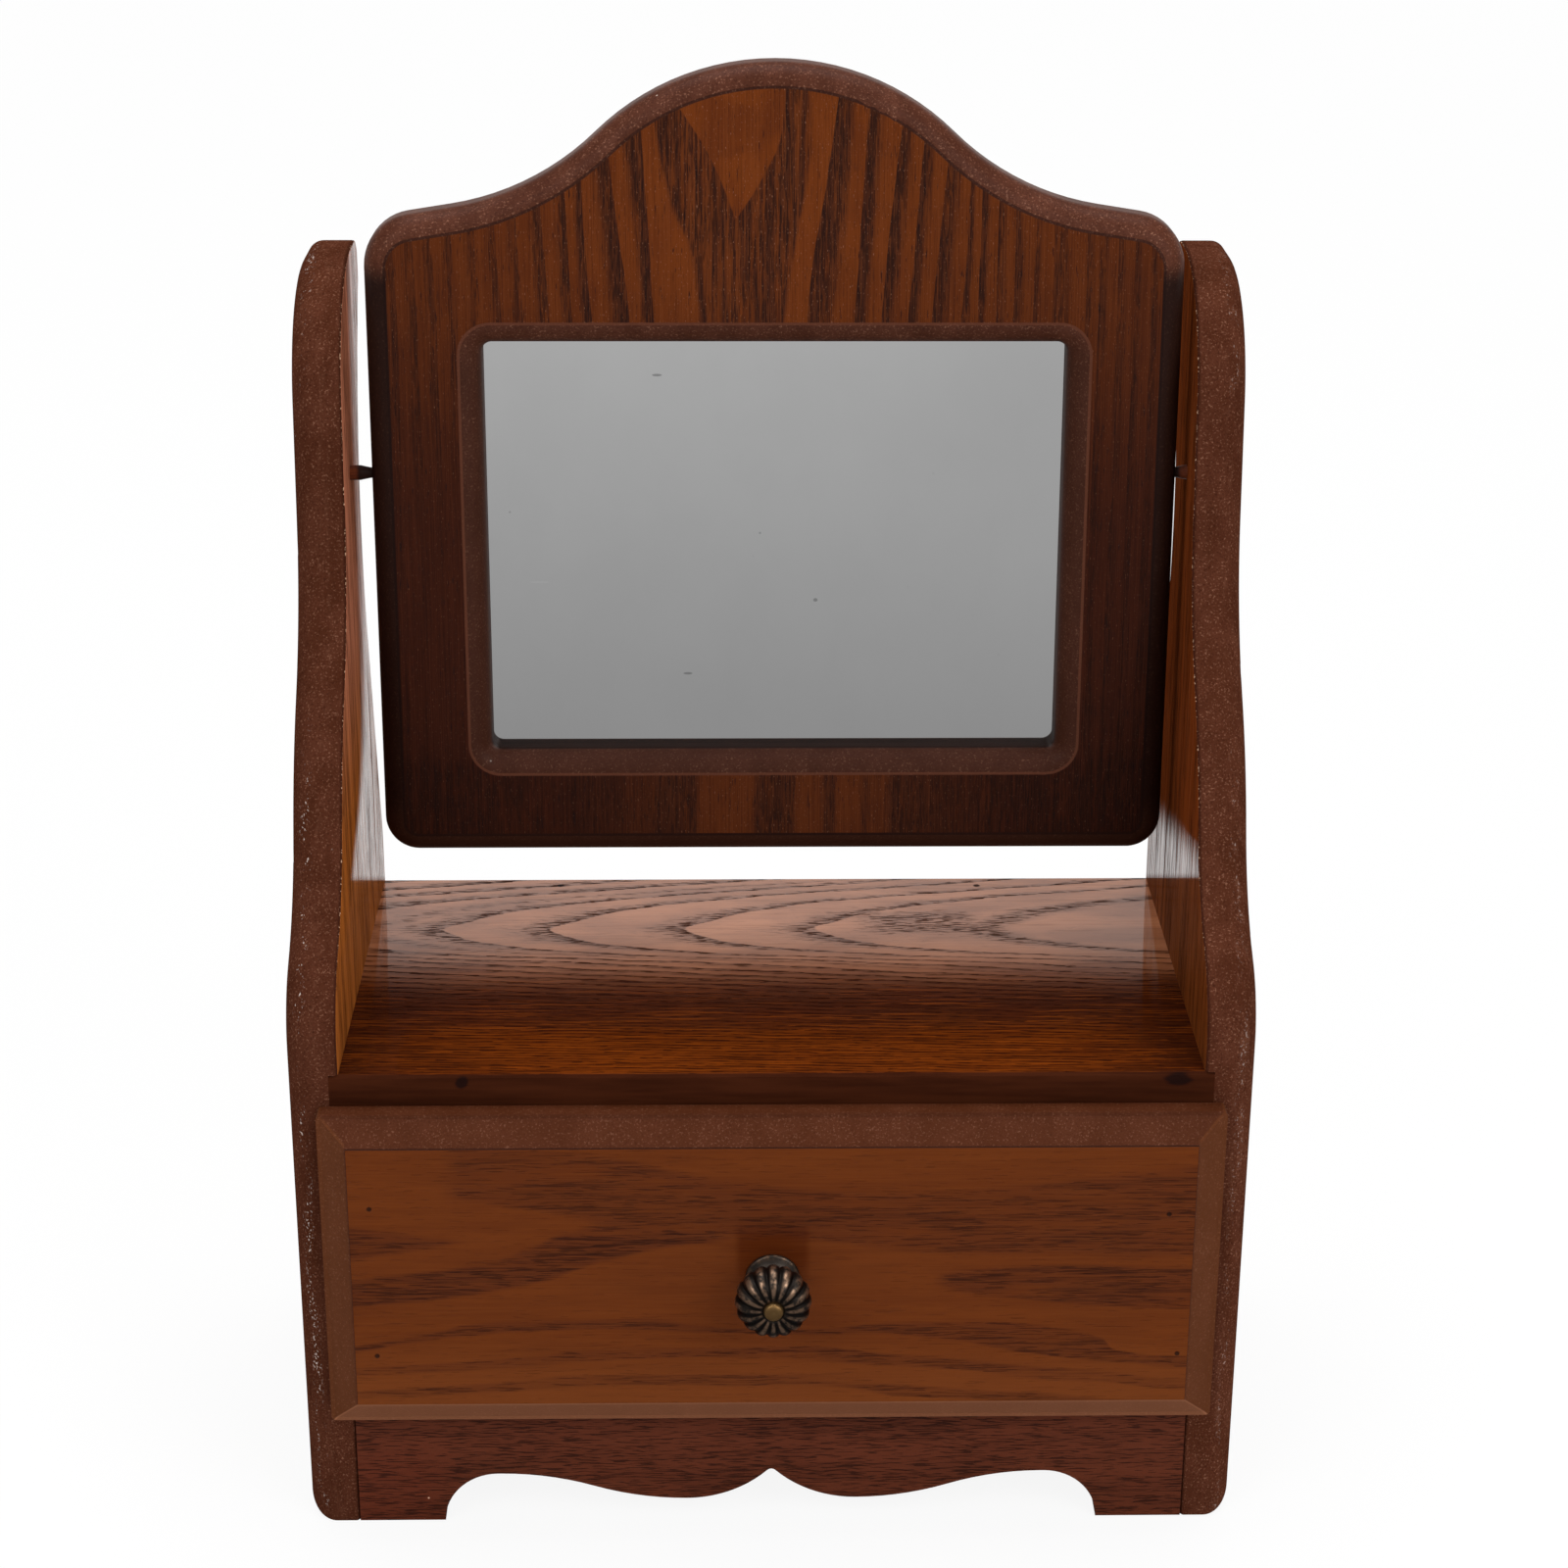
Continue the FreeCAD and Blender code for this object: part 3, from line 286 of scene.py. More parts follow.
# Each band has its lower and its upper edge from left to right, how soft they are and how dark it is.
DRAWER_BANDS = (
    (((-82, 100.5), (-52, 95.3), (-40, 92.0), (-25, 89.5), (-8, 89.0), (10, 88.0),
      (40, 84.5), (74, 83.8), (106, 83.4)),
     ((-82, 115.5), (-40, 111.0), (-23, 107.0), (8, 102.5), (40, 101.5), (73, 104.5),
      (106, 109.0)), 1.2, 0.62),
    (((-106, 69.7), (-60, 76.0), (-45, 81.5), (-30, 86.0), (-8, 88.5)),
     ((-106, 76.9), (-74, 82.0), (-60, 86.5), (-51, 90.0), (-40, 92.5), (-8, 90.5)),
     0.9, 0.8),
    (((-106, 82.7), (-80, 87.4), (-74, 88.6)),
     ((-106, 92.5), (-80, 88.6), (-74, 88.2)), 1.0, 0.7),
    (((-106, 56.2), (-82, 60.6), (-77, 61.2), (-49, 62.8), (-19, 61.8), (7, 61.0),
      (24, 61.2), (40, 59.8), (57, 56.6), (75, 53.4), (90, 52.0), (106, 50.7)),
     ((-106, 58.0), (-82, 62.8), (-77, 64.6), (-66, 65.3), (-49, 65.5), (-32, 65.5),
      (-19, 64.0), (7, 62.4), (24, 63.8), (49, 64.6), (66, 63.4), (83, 59.4), (88, 55.6),
      (106, 54.0)), 0.5, 0.65),
    (((-106, 49.8), (-74, 51.4), (-57, 52.4), (-49, 53.2), (-15, 54.6), (20, 52.6),
      (49, 50.4), (66, 47.8), (84, 46.6), (106, 44.8)),
     ((-106, 51.8), (-74, 53.8), (-57, 55.2), (-49, 56.6), (-15, 57.2), (8, 57.5),
      (20, 56.2), (49, 53.4), (66, 51.0), (84, 49.6), (106, 47.6)), 0.5, 0.6),
    (((-106, 42.6), (-66, 45.0), (-49, 46.2), (-23, 46.6), (8, 46.2), (32, 42.9),
      (64, 41.0), (106, 40.0)),
     ((-106, 44.8), (-66, 47.6), (-49, 49.2), (-23, 49.6), (8, 49.2), (32, 46.4),
      (64, 44.0), (106, 41.0)), 0.6, 0.5),
    (((40, 75.0), (80, 69.2), (106, 68.4)),
     ((40, 76.4), (64, 80.4), (106, 80.0)), 1.0, 0.75),
)
# The bands that reach an end of the front are drawn this far, a little past it.
DRAWER_HALF_WIDTH = 106
DRAWER_NAILS = ((-99.7, 97.4), (-99.4, 55.5), (98.5, 94.9), (102.3, 54.9))


def nail_hole(x, z, across, up, radius=0.6):
    """A small dark pit, 1 at its middle."""
    reach = ((x - across) * (x - across) + (z - up) * (z - up)) ** 0.5
    return reach.rise(radius * 1.25, radius * 0.7)


def drawer_band(finish, x, course, lower, upper, soft, depth):
    """How dark one growth band is; a band that ends inside the front fades out there."""
    band = ((course - finish.curve(x, lower)).rise(-soft, soft)
            * (finish.curve(x, upper) - course).rise(-soft, soft) * depth)
    start, end = lower[0][0], lower[-1][0]
    if start > -DRAWER_HALF_WIDTH:
        band = band * x.rise(start - 1.5, start + 6.0)
    if end < DRAWER_HALF_WIDTH:
        band = band * x.rise(end + 1.0, end - 8.0)
    return band


def drawer_bevels(finish, x, y, z):
    """The bare board round the drawer's field: its colour and its height."""
    colour, grit = fibreboard(finish, x, y, z)
    colour = finish.mix(0.45, colour, stain(76, 34, 8))
    seam = (y - DRAWER_FIELD_FACE).band(0.1, 0.6, 0.05)
    colour = finish.mix(seam * 0.8, colour, stain(45, 22, 14))
    # Painted light: the side bevels lighter, the lower bevel lighter still and most next to the field.
    past_side = abs(x) - DRAWER_FIELD_EDGE
    under = DRAWER_FIELD_FOOT - z
    side_bevel = past_side - (z - DRAWER_FIELD_HEAD).most(0.0) - under.most(0.0)
    colour = finish.mix(side_bevel.rise(-0.3, 0.3) * 0.26, colour, stain(112, 64, 30))
    lower_bevel = under - past_side.most(0.0)
    colour = finish.mix(lower_bevel.rise(-0.2, 0.2) * (0.45 + lower_bevel.rise(0.9, 0.2) * 0.4), colour,
                        stain(142, 92, 64))
    return colour, grit


def drawer_front_finish():
    finish = Finish("veneer_on_drawer_front")
    x, y, z = finish.place()
    stray = waver(finish, x, z, y, 1.3)
    dark = greatest(drawer_band(finish, x, z + stray, *band) for band in DRAWER_BANDS)
    patchy = finish.noise(finish.vector(x / 26.0, z / 3.2, y), 3.0, 0.6)
    dark = dark * patchy.rise(0.22, 0.6) + patchy.rise(0.6, 0.85) * 0.12
    dash = pores(finish, x, z + stray * 0.6, y, dark, 7.0, 0.34)
    strokes = finish.noise(finish.vector(x / 26.0, (z + stray * 0.7) / 0.7, y), 2.0, 0.6)
    fine = fibres(finish, x, z, y)
    light = finish.mix(patchy.rise(0.3, 0.75), stain(90, 42, 16), stain(98, 47, 17))
    # Painted light: the field lighter towards its foot.
    light = finish.mix(z.rise(64.0, 42.0) * 0.5, light, stain(112, 59, 26))
    # Painted shade over the knob: its shadow and its dark reflection in the varnish.
    painted_knob_shade = x.band(-8.8, 8.8, 1.2) * z.rise(94.0, 90.0) * z.rise(70.0, 84.0)
    light = finish.mix(painted_knob_shade * 0.6, light, stain(66, 22, 5))
    colour = finish.mix(dark * 0.8, light, stain(70, 32, 19))
    colour = finish.mix(strokes.rise(0.52, 0.38) * (dark * 0.6 + 0.06), colour, stain(42, 19, 13))
    colour = finish.mix(fine.rise(0.45, 0.7) * 0.2, colour, stain(112, 60, 26))
    colour = finish.mix(dash * (dark * 0.6 + 0.2), colour, stain(36, 16, 10))
    pit = greatest(nail_hole(x + stray * 0.2, z, across, up) for across, up in DRAWER_NAILS)
    colour = finish.mix(pit * 0.85, colour, stain(30, 18, 12))
    # Pale flecks: painted glints.
    flecks = finish.specks(finish.vector(x, y, z), 22.0, 0.3, 0.5)
    colour = finish.mix(flecks * 0.8, colour, stain(225, 200, 170))
    edge_colour, grit = drawer_bevels(finish, x, y, z)
    field = y.rise(DRAWER_FIELD_FACE + 0.12, DRAWER_FIELD_FACE + 0.04)
    height = (fine * 0.35 - dash * 0.6 - pit * 3.0) * field + grit * (1 - field) * 0.8
    return finish.surface(finish.mix(field, edge_colour, colour), 0.45 - field * 0.23, height, 0.1,
                          VARNISH)


# Shelf: rings drawn out into long loops that open to the right

# How far to the right a loop's line has gone, by its place from front to back
SHELF_LOOP_LINE = ((-48, 1180), (-10, 430), (5, 250), (13, 165), (19, 112), (23, 62), (27, 30),
                   (31, 14), (36, 4), (41, 0), (45, 6), (50, 14), (55, 27), (60, 47), (65, 76), (70, 108),
                   (75, 145))
# Where the sharp side of each ring crosses the shelf's middle; the rings further left follow evenly.
SHELF_RINGS = (-87.8, -58.8, -22.2, 12.9)
RING_WIDTH = 19.0
RING_SPACING = 32.0
BACK_NAILS = ((-57.6, 70.1), (58.8, 69.2))
# The two dark fills in the front edge: how far to the right, and the height of both
LEFT_FILL = -76.6
RIGHT_FILL = 100.2
FILL_HEIGHT = SHELF_TOP - 2.0


def shelf_rings(finish, x, y):
    """How dark the rings are, from 0 between them to 1."""
    course = x - finish.curve(y, SHELF_LOOP_LINE)
    rings = greatest(course.rise(ring - RING_WIDTH, ring - 1.0) * course.rise(ring + 0.6, ring - 0.6)
                     for ring in SHELF_RINGS)
    phase = finish.add("ShaderNodeMath", {"operation": "FRACT"}, {0: course / RING_SPACING})
    further_left = phase.rise(0.15, 0.85) * phase.rise(1.0, 0.9) * course.rise(-98.0, -112.0)
    far_right = course.rise(44.0, 56.0) * course.rise(70.0, 60.0)
    heart = x.rise(16.0, 34.0) * x.rise(64.0, 52.0) * y.band(36.5, 51.5, 4.0)
    return greatest((rings, further_left, far_right * 0.9, heart * 0.9))


def shelf_edge_colour(finish, x, y, z):
    """The bare front edge, with its two dark fills."""
    tone = finish.noise(finish.vector(x / 40.0, y / 2.0, z / 3.0), 3.0, 0.6)
    colour = finish.mix(tone.rise(0.3, 0.7), stain(46, 20, 10), stain(62, 29, 15))
    ragged = (tone - 0.5) * 3.0
    left_fill = nail_hole(x + ragged, z, LEFT_FILL, FILL_HEIGHT, 1.6)
    right_fill = nail_hole((x - RIGHT_FILL) * 0.5 + ragged, z + ragged, 0.0, FILL_HEIGHT, 1.7)
    return finish.mix(left_fill.most(right_fill) * 0.8, colour, stain(20, 12, 12))


def shelf_finish():
    finish = Finish("veneer_on_shelf")
    x, y, z = finish.place()
    stray = waver(finish, x, y, z, 1.1, 22.0, 5.0)
    dark = shelf_rings(finish, x, y + stray)
    dash = pores(finish, x, y + stray, z, dark * 1.15, 5.0, 0.55)
    ridges = finish.noise(finish.vector(x / 24.0, (y + stray) / 0.62, z), 2.0, 0.65)
    fine = fibres(finish, x, y + stray, z, 0.35)
    # Warm towards the front and paler towards the back, partly the wood's own tone and partly painted light;
    # painted shade across the middle and beside the panels
    warm = y.rise(30.0, -16.0)
    light = finish.mix(warm, stain(166, 106, 72), stain(104, 46, 10))
    painted_shade = y.band(-22.0, 8.0, 14.0).most(abs(x).rise(58.0, 108.0) * y.rise(20.0, 0.0))
    light = finish.mix(painted_shade.least(1.0), light, stain(58, 24, 9))
    colour = finish.mix(dark * 0.5, light, stain(66, 27, 10))
    blotch = finish.noise(finish.vector(x / 28.0, y / 10.0, z / 10.0), 2.0, 0.5)
    colour = finish.mix(blotch.rise(0.35, 0.7) * 0.35, colour, stain(74, 28, 8))
    colour = finish.mix(ridges.rise(0.5, 0.68) * (warm * 0.3 + 0.12), colour, stain(138, 64, 12))
    colour = finish.mix(ridges.rise(0.48, 0.34) * (warm * 0.45 + 0.2), colour, stain(48, 17, 6))
    colour = finish.mix(dash * (dark * 0.75 + 0.1), colour, stain(36, 14, 8))
    pit = greatest(nail_hole(x, y, across, back, 0.9) for across, back in BACK_NAILS)
    colour = finish.mix(pit * 0.9, colour, stain(22, 12, 9))
    bare = y.rise(CASE_FRONT + 0.85, CASE_FRONT + 0.55).most(z.rise(SHELF_TOP - 0.4, SHELF_TOP - 0.7))
    height = (fine * 0.4 - dash * 0.9 - pit * 3.0) * (1 - bare)
    sunk = (dash * (dark * 0.95 + 0.1)).most(ridges.rise(0.44, 0.34) * (0.2 + warm * 0.5)).most(pit)
    gloss = (1 - bare) * (1 - sunk * 0.9) * (1 - warm * 0.5 - x.rise(0.0, 90.0) * 0.1)
    return finish.surface(finish.mix(bare, colour, shelf_edge_colour(finish, x, y, z)), 0.3, height, 0.12,
                          {"Coat Weight": gloss, "Coat Roughness": 0.05, **UNDER_COAT})


# Apron: level grain with many fine wavy pores

def apron_finish():
    finish = Finish("veneer_on_apron")
    x, y, z = finish.place()
    stray = waver(finish, x, z, y, 0.8, 14.0, 4.0)
    patchy = finish.noise(finish.vector(x / 40.0, z / 5.0, y / 5.0), 3.0, 0.6)
    dark = patchy.rise(0.3, 0.65) * 0.4 + 0.45
    dash = pores(finish, x, z + stray, y, dark + 0.1, 6.0, 0.36)
    fine = fibres(finish, x, z + stray, y)
    colour = finish.mix(patchy.rise(0.3, 0.7), stain(90, 43, 26), stain(80, 38, 23))
    left_foot = x.rise(-75.0, -92.0) * z.rise(30.0, 14.0)
    colour = finish.mix(left_foot * 0.5, colour, stain(90, 38, 22))
    colour = finish.mix(fine.rise(0.5, 0.75) * 0.3, colour, stain(104, 56, 38))
    colour = finish.mix(dash * 0.75, colour, stain(38, 17, 11))
    # Pale flecks: painted glints.
    flecks = finish.specks(finish.vector(x, y, z), 14.0, 0.3, 0.4)
    colour = finish.mix(flecks * 0.8, colour, stain(215, 170, 140))
    return finish.surface(colour, 0.4, fine * 0.35 - dash * 0.7, 0.1, VARNISH)


# Side panels: upright veneer on the faces, bare rounded fibreboard along the front

# On the inner faces the white backdrop shows in the varnish. On the left, how far back its sheen begins,
# by the height; on the right, how high it ends at the back and how much higher for each step forward.
SHEEN_LEFT = ((140, -75), (165, 0), (190, 33), (229, 41), (293, 46), (312, 49))
SHEEN_RIGHT = (151.4, 0.27)
# The shelf cuts the sheen off, at this height at the back and higher for each step forward.
SHEEN_FOOT = (129.0, 0.43)
# The steps forward are counted from here, just behind the panels.
SHEEN_BACK = cad_side("side_panel_right", HIGHEST, DEEP) + 1.85


def panel_edge(finish, x, y, z, out, left):
    """The bare, rounded front and back edges: their colour and their height."""
    colour, grit = fibreboard(finish, x, y, z)
    # Painted highlights, partly also real wear: a pale rubbed band down the front edge and a column of pale
    # chips.
    rub_and_shine = finish.noise(finish.vector(x / 2.0, y / 3.0, z / 18.0), 4.0, 0.7)
    rubbed_and_shine_from, rubbed_and_shine_to = (111.0, 114.0) if left else (114.5, 118.5)
    rubbed_and_shine = out.band(rubbed_and_shine_from, rubbed_and_shine_to, 1.2) * rub_and_shine.rise(0.5, 0.72)
    colour = finish.mix(rubbed_and_shine * 0.2, colour, stain(128, 86, 66))
    deep_share = z.rise(312.0, 262.0) * 0.18 if left else z.rise(110.0, 170.0) * 0.1
    colour = finish.mix(deep_share, colour, stain(40, 16, 8))
    chips = finish.noise(finish.vector(x / 0.5, y / 0.7, z / 0.7), 1.0, 0.5).rise(0.6, 0.68)
    worn_and_glinting_heights = z.rise(210.0, 180.0).most(z.rise(275.0, 290.0))
    worn_and_glinting = out.band(115.2, 117.4, 0.9) * rub_and_shine.rise(0.5, 0.6) * worn_and_glinting_heights
    colour = finish.mix(chips * worn_and_glinting * (0.8 if left else 0.3), colour, stain(205, 186, 176))
    past_face = out - PANEL_INNER_FACE
    colour = finish.mix(past_face.band(0.02, 0.5, 0.06) * 0.6, colour, stain(48, 22, 14))
    ridge = past_face.band(0.05, 0.3, 0.05) * z.rise(150.0, 160.0)
    return finish.mix(ridge * chips * 0.8, colour, stain(200, 160, 130)), grit


def panel_sheen(finish, y, z, streaks, left):
    """Where the varnish of an inner face shines, from 0 to 1."""
    forward = SHEEN_BACK - y
    foot_height, foot_slope = SHEEN_FOOT
    over_shelf = (z - (foot_height + forward * foot_slope)).rise(-1.5, 1.5)
    if left:
        lit = (y - finish.curve(z, SHEEN_LEFT)).rise(-2.0, 18.0)
    else:
        top_height, top_slope = SHEEN_RIGHT
        under_top = top_height + forward * top_slope - z + (streaks - 0.5) * 16.0
        lit = under_top.rise(-3.0, 8.0).most(y.rise(SHEEN_BACK - 5.0, SHEEN_BACK) * 0.5)
    return lit * (over_shelf * 0.85 + 0.1)


def side_panel_finish(name, left):
    finish = Finish(name)
    x, y, z = finish.place()
    out = abs(x)
    stray = waver(finish, z, y, x, 1.4)
    patchy = finish.noise(finish.vector(z / 60.0, y / 5.0, x / 5.0), 3.0, 0.6)
    dark = patchy.rise(0.35, 0.65)
    dash = pores(finish, z, y + stray, x, dark, 12.0, 0.5)
    fine = fibres(finish, z, y + stray * 0.4, x, 0.35)
    streaks = finish.noise(finish.vector(z / 45.0, (y + stray * 0.3) / 0.62, x / 5.0), 2.0, 0.6)
    inside = out.rise(PANEL_INNER_FACE + 4.0, PANEL_INNER_FACE + 1.0)
    # Painted light: the left inner face paler than the right, as if lit from the right, and golden towards
    # the shelf as a painted reflection of it.
    if left:
        inner = finish.mix(z.rise(226.0, 172.0), stain(182, 112, 84), stain(164, 92, 36))
    else:
        inner = finish.mix(z.rise(190.0, 135.0), stain(118, 54, 20), stain(116, 58, 20))
    colour = finish.mix(inside, stain(92, 44, 22), inner)
    colour = finish.mix(dark * 0.35, colour, stain(66, 29, 14))
    colour = finish.mix(streaks.rise(0.5, 0.36) * 0.5, colour, stain(52, 22, 12))
    colour = finish.mix(fine.rise(0.45, 0.72) * 0.3, colour, stain(138, 84, 50))
    colour = finish.mix(dash * 0.55, colour, stain(40, 17, 10))
    edge_colour, grit = panel_edge(finish, x, y, z, out, left)
    edge = (out.rise(PANEL_INNER_FACE + 0.02, PANEL_INNER_FACE + 0.12)
            * out.rise(PANEL_OUTER_FACE - 0.02, PANEL_OUTER_FACE - 0.12))
    height = (fine * 0.45 - dash * 0.7) * (1 - edge) + grit * edge * 0.9
    lit = panel_sheen(finish, y, z, streaks, left)
    gloss = (lit * inside + (1 - inside) * 0.25) * (1 - edge)
    gloss = gloss * (1 - dash * 0.6) * (1 - streaks.rise(0.52, 0.4) * 0.85)
    return finish.surface(finish.mix(edge, colour, edge_colour), 0.16 + edge * 0.3, height, 0.1,
                          {"Coat Weight": gloss, "Coat Roughness": 0.08, **UNDER_COAT})


# Mirror frame: one sheet of upright veneer; its dark growth lines fan out over the arch

# Where the lines cross the level above the glass, out from the middle; each has its sharp side inward.
LINES_LEFT = (-29.0, -35.0, -44.4, -49.3, -55.3, -61.6, -67.0, -72.0, -78.0, -83.0, -88.0, -93.0)
LINES_RIGHT = (9.5, 21.0, 27.7, 34.6, 40.4, 47.7, 52.0, 56.5, 61.0, 65.5, 70.7, 78.8, 82.2, 86.9, 91.0,
               95.3, 100.0, 105.0)
# The same lines with their numbers, less than 0 on the left, for a curve from left to right; it begins
# with the fourteenth line, by the left edge.
LINE_NUMBERS = ((-103.0, -14.0),
                *reversed([(place, -1.0 - number) for number, place in enumerate(LINES_LEFT)]),
                *((place, 1.0 + number) for number, place in enumerate(LINES_RIGHT)))
FAN_FOOT = 41.0
FAN_REACH = 56.0
# How far each line has moved aside at the top of the fan
FAN = ((-105, 0.0), (-59, -3.2), (-52, -2.6), (-47, -3.4), (-42, -6.6), (-32, -3.6),
       (-20, -2.0), (0, 3.0), (9.5, 5.0), (16.7, 7.2), (24.4, 3.6), (33.3, 5.4), (38.2, 3.8), (45.8, 5.0),
       (50, 2.0), (54, 0.5), (62, 0.0), (105, 0.0))
# Left and right sides of the light wedge at the top and of the dark plume under it, by the height
WEDGE_LEFT = ((65.6, -8.6), (80.8, -14.8), (91.6, -21.4), (100, -27.0))
WEDGE_RIGHT = ((65.6, -8.6), (78.7, -0.5), (84.9, 2.2), (96.2, 3.5), (100, 3.6))
PLUME_LEFT = ((36, -17.0), (58, -19.6), (66, -23.2), (74, -25.5), (86, -28.0), (99, -30.0))
PLUME_RIGHT = ((36, 2.8), (56, 5.6), (62, 6.5), (74, 8.9), (91, 10.0), (99, 9.5))
# How dark the bar below the glass is, from left to right
FOOT_TONES = ((-105, 0.9), (-61, 0.7), (-55, 0.45), (-50, 0.7), (-40, 0.65), (-34, 0.4),
              (-29, 0.8), (-20, 0.85), (-18, 0.1), (-5, 0.12), (-2, 0.85), (6, 0.85), (8, 0.15),
              (13.5, 0.2), (15, 0.8), (17, 0.8), (18.5, 0.12), (24, 0.2), (25.5, 0.6), (27, 0.25),
              (31, 0.3), (32.5, 0.85), (38.8, 0.8), (46, 0.65), (60, 0.8), (105, 0.9))
# The opening of the frame and a little round it: half its width, and its top and foot from the pivot
OPENING_HALF_WIDTH = 82.0
OPENING_TOP = 42.0
OPENING_FOOT = -82.5


def frame_place(finish):
    """Right, forward and up in the leaning frame, from the pivot."""
    x, y, z = finish.place()
    back, up = y - PIVOT[DEEP], z - PIVOT[UP]
    cosine, sine = math.cos(MIRROR_LEAN), math.sin(MIRROR_LEAN)
    return x - FRAME_OFFSET, (up * sine - back * cosine), (up * cosine + back * sine)


def frame_grain(finish, x, out, up, stray):
    """How dark the growth lines are, from 0 in plain wood to 1, and the light wedge at the top."""
    height = ((up - FAN_FOOT) / FAN_REACH).most(0.0).least(1.0)
    course = x + stray - height * finish.curve(x, FAN)
    number = abs(finish.curve(course, LINE_NUMBERS))
    phase = finish.add("ShaderNodeMath", {"operation": "FRACT"}, {0: number})
    lines = phase.rise(0.64, 0.2) * number.rise(0.97, 1.0)
    edge = x + stray
    plume = ((edge - finish.curve(up, PLUME_LEFT)).rise(-1.0, 1.0)
             * (finish.curve(up, PLUME_RIGHT) - edge).rise(-0.6, 0.6) * up.rise(30.0, 38.0))
    wedge = ((x - finish.curve(up, WEDGE_LEFT)).rise(-0.25, 0.25)
             * (finish.curve(up, WEDGE_RIGHT) - x).rise(-0.25, 0.25) * up.rise(65.0, 66.5))
    strands = finish.noise(finish.vector(edge / 1.1, up / 34.0, out / 5.0), 2.0, 0.6).rise(0.34, 0.58)
    foot = up.rise(-70.0, -80.0)
    faint = up.rise(34.0, -24.0) * x.rise(60.0, -40.0)
    lines = lines * (1 - foot) * (1 - faint * 0.7) * (1 - abs(x).rise(44.0, 70.0) * 0.3)
    lines = lines + finish.curve(edge, FOOT_TONES) * foot
    return lines.most(plume * (strands * 0.6 + 0.4)) * (1 - wedge), wedge


def frame_edges(finish, x, out, up, frame_x):
    """The bare, rounded board round the frame and its opening: its colour and its height."""
    colour, grit = fibreboard(finish, x, out, up)
    opening = (abs(frame_x).rise(OPENING_HALF_WIDTH, OPENING_HALF_WIDTH - 1.0)
               * up.rise(OPENING_TOP, OPENING_TOP - 1.0) * up.rise(OPENING_FOOT, OPENING_FOOT + 1.0))
    # Painted shade: the rounded lip of the opening darker, a little less at its top.
    colour = finish.mix(opening * (0.6 - up.rise(26.0, 38.0) * 0.3), colour, stain(46, 25, 17))
    # Painted shadow: a dark line where the glass meets the foot of the opening.
    glass_edge_shadow = opening * out.rise(1.4, 0.6) * up.rise(-60.0, -76.0)
    colour = finish.mix(glass_edge_shadow * 0.8, colour, stain(20, 12, 10))
    # Painted shade: the frame's rounded edge darker below its top, darkest along the foot.
    shaded = up.rise(56.0, 49.0) * (1 - opening) * out.rise(-5.6, -4.6)
    shade = finish.mix(up.rise(-84.0, -98.0), stain(24, 12, 9), stain(44, 23, 15))
    colour = finish.mix(shaded * 0.88, colour, shade)
    seam = (FRAME_FRONT_DEPTH - out).band(0.01, 0.09, 0.01)
    seam_colour = finish.mix(opening, stain(26, 12, 9), stain(92, 52, 36))
    return finish.mix(seam * 0.6, colour, seam_colour), grit


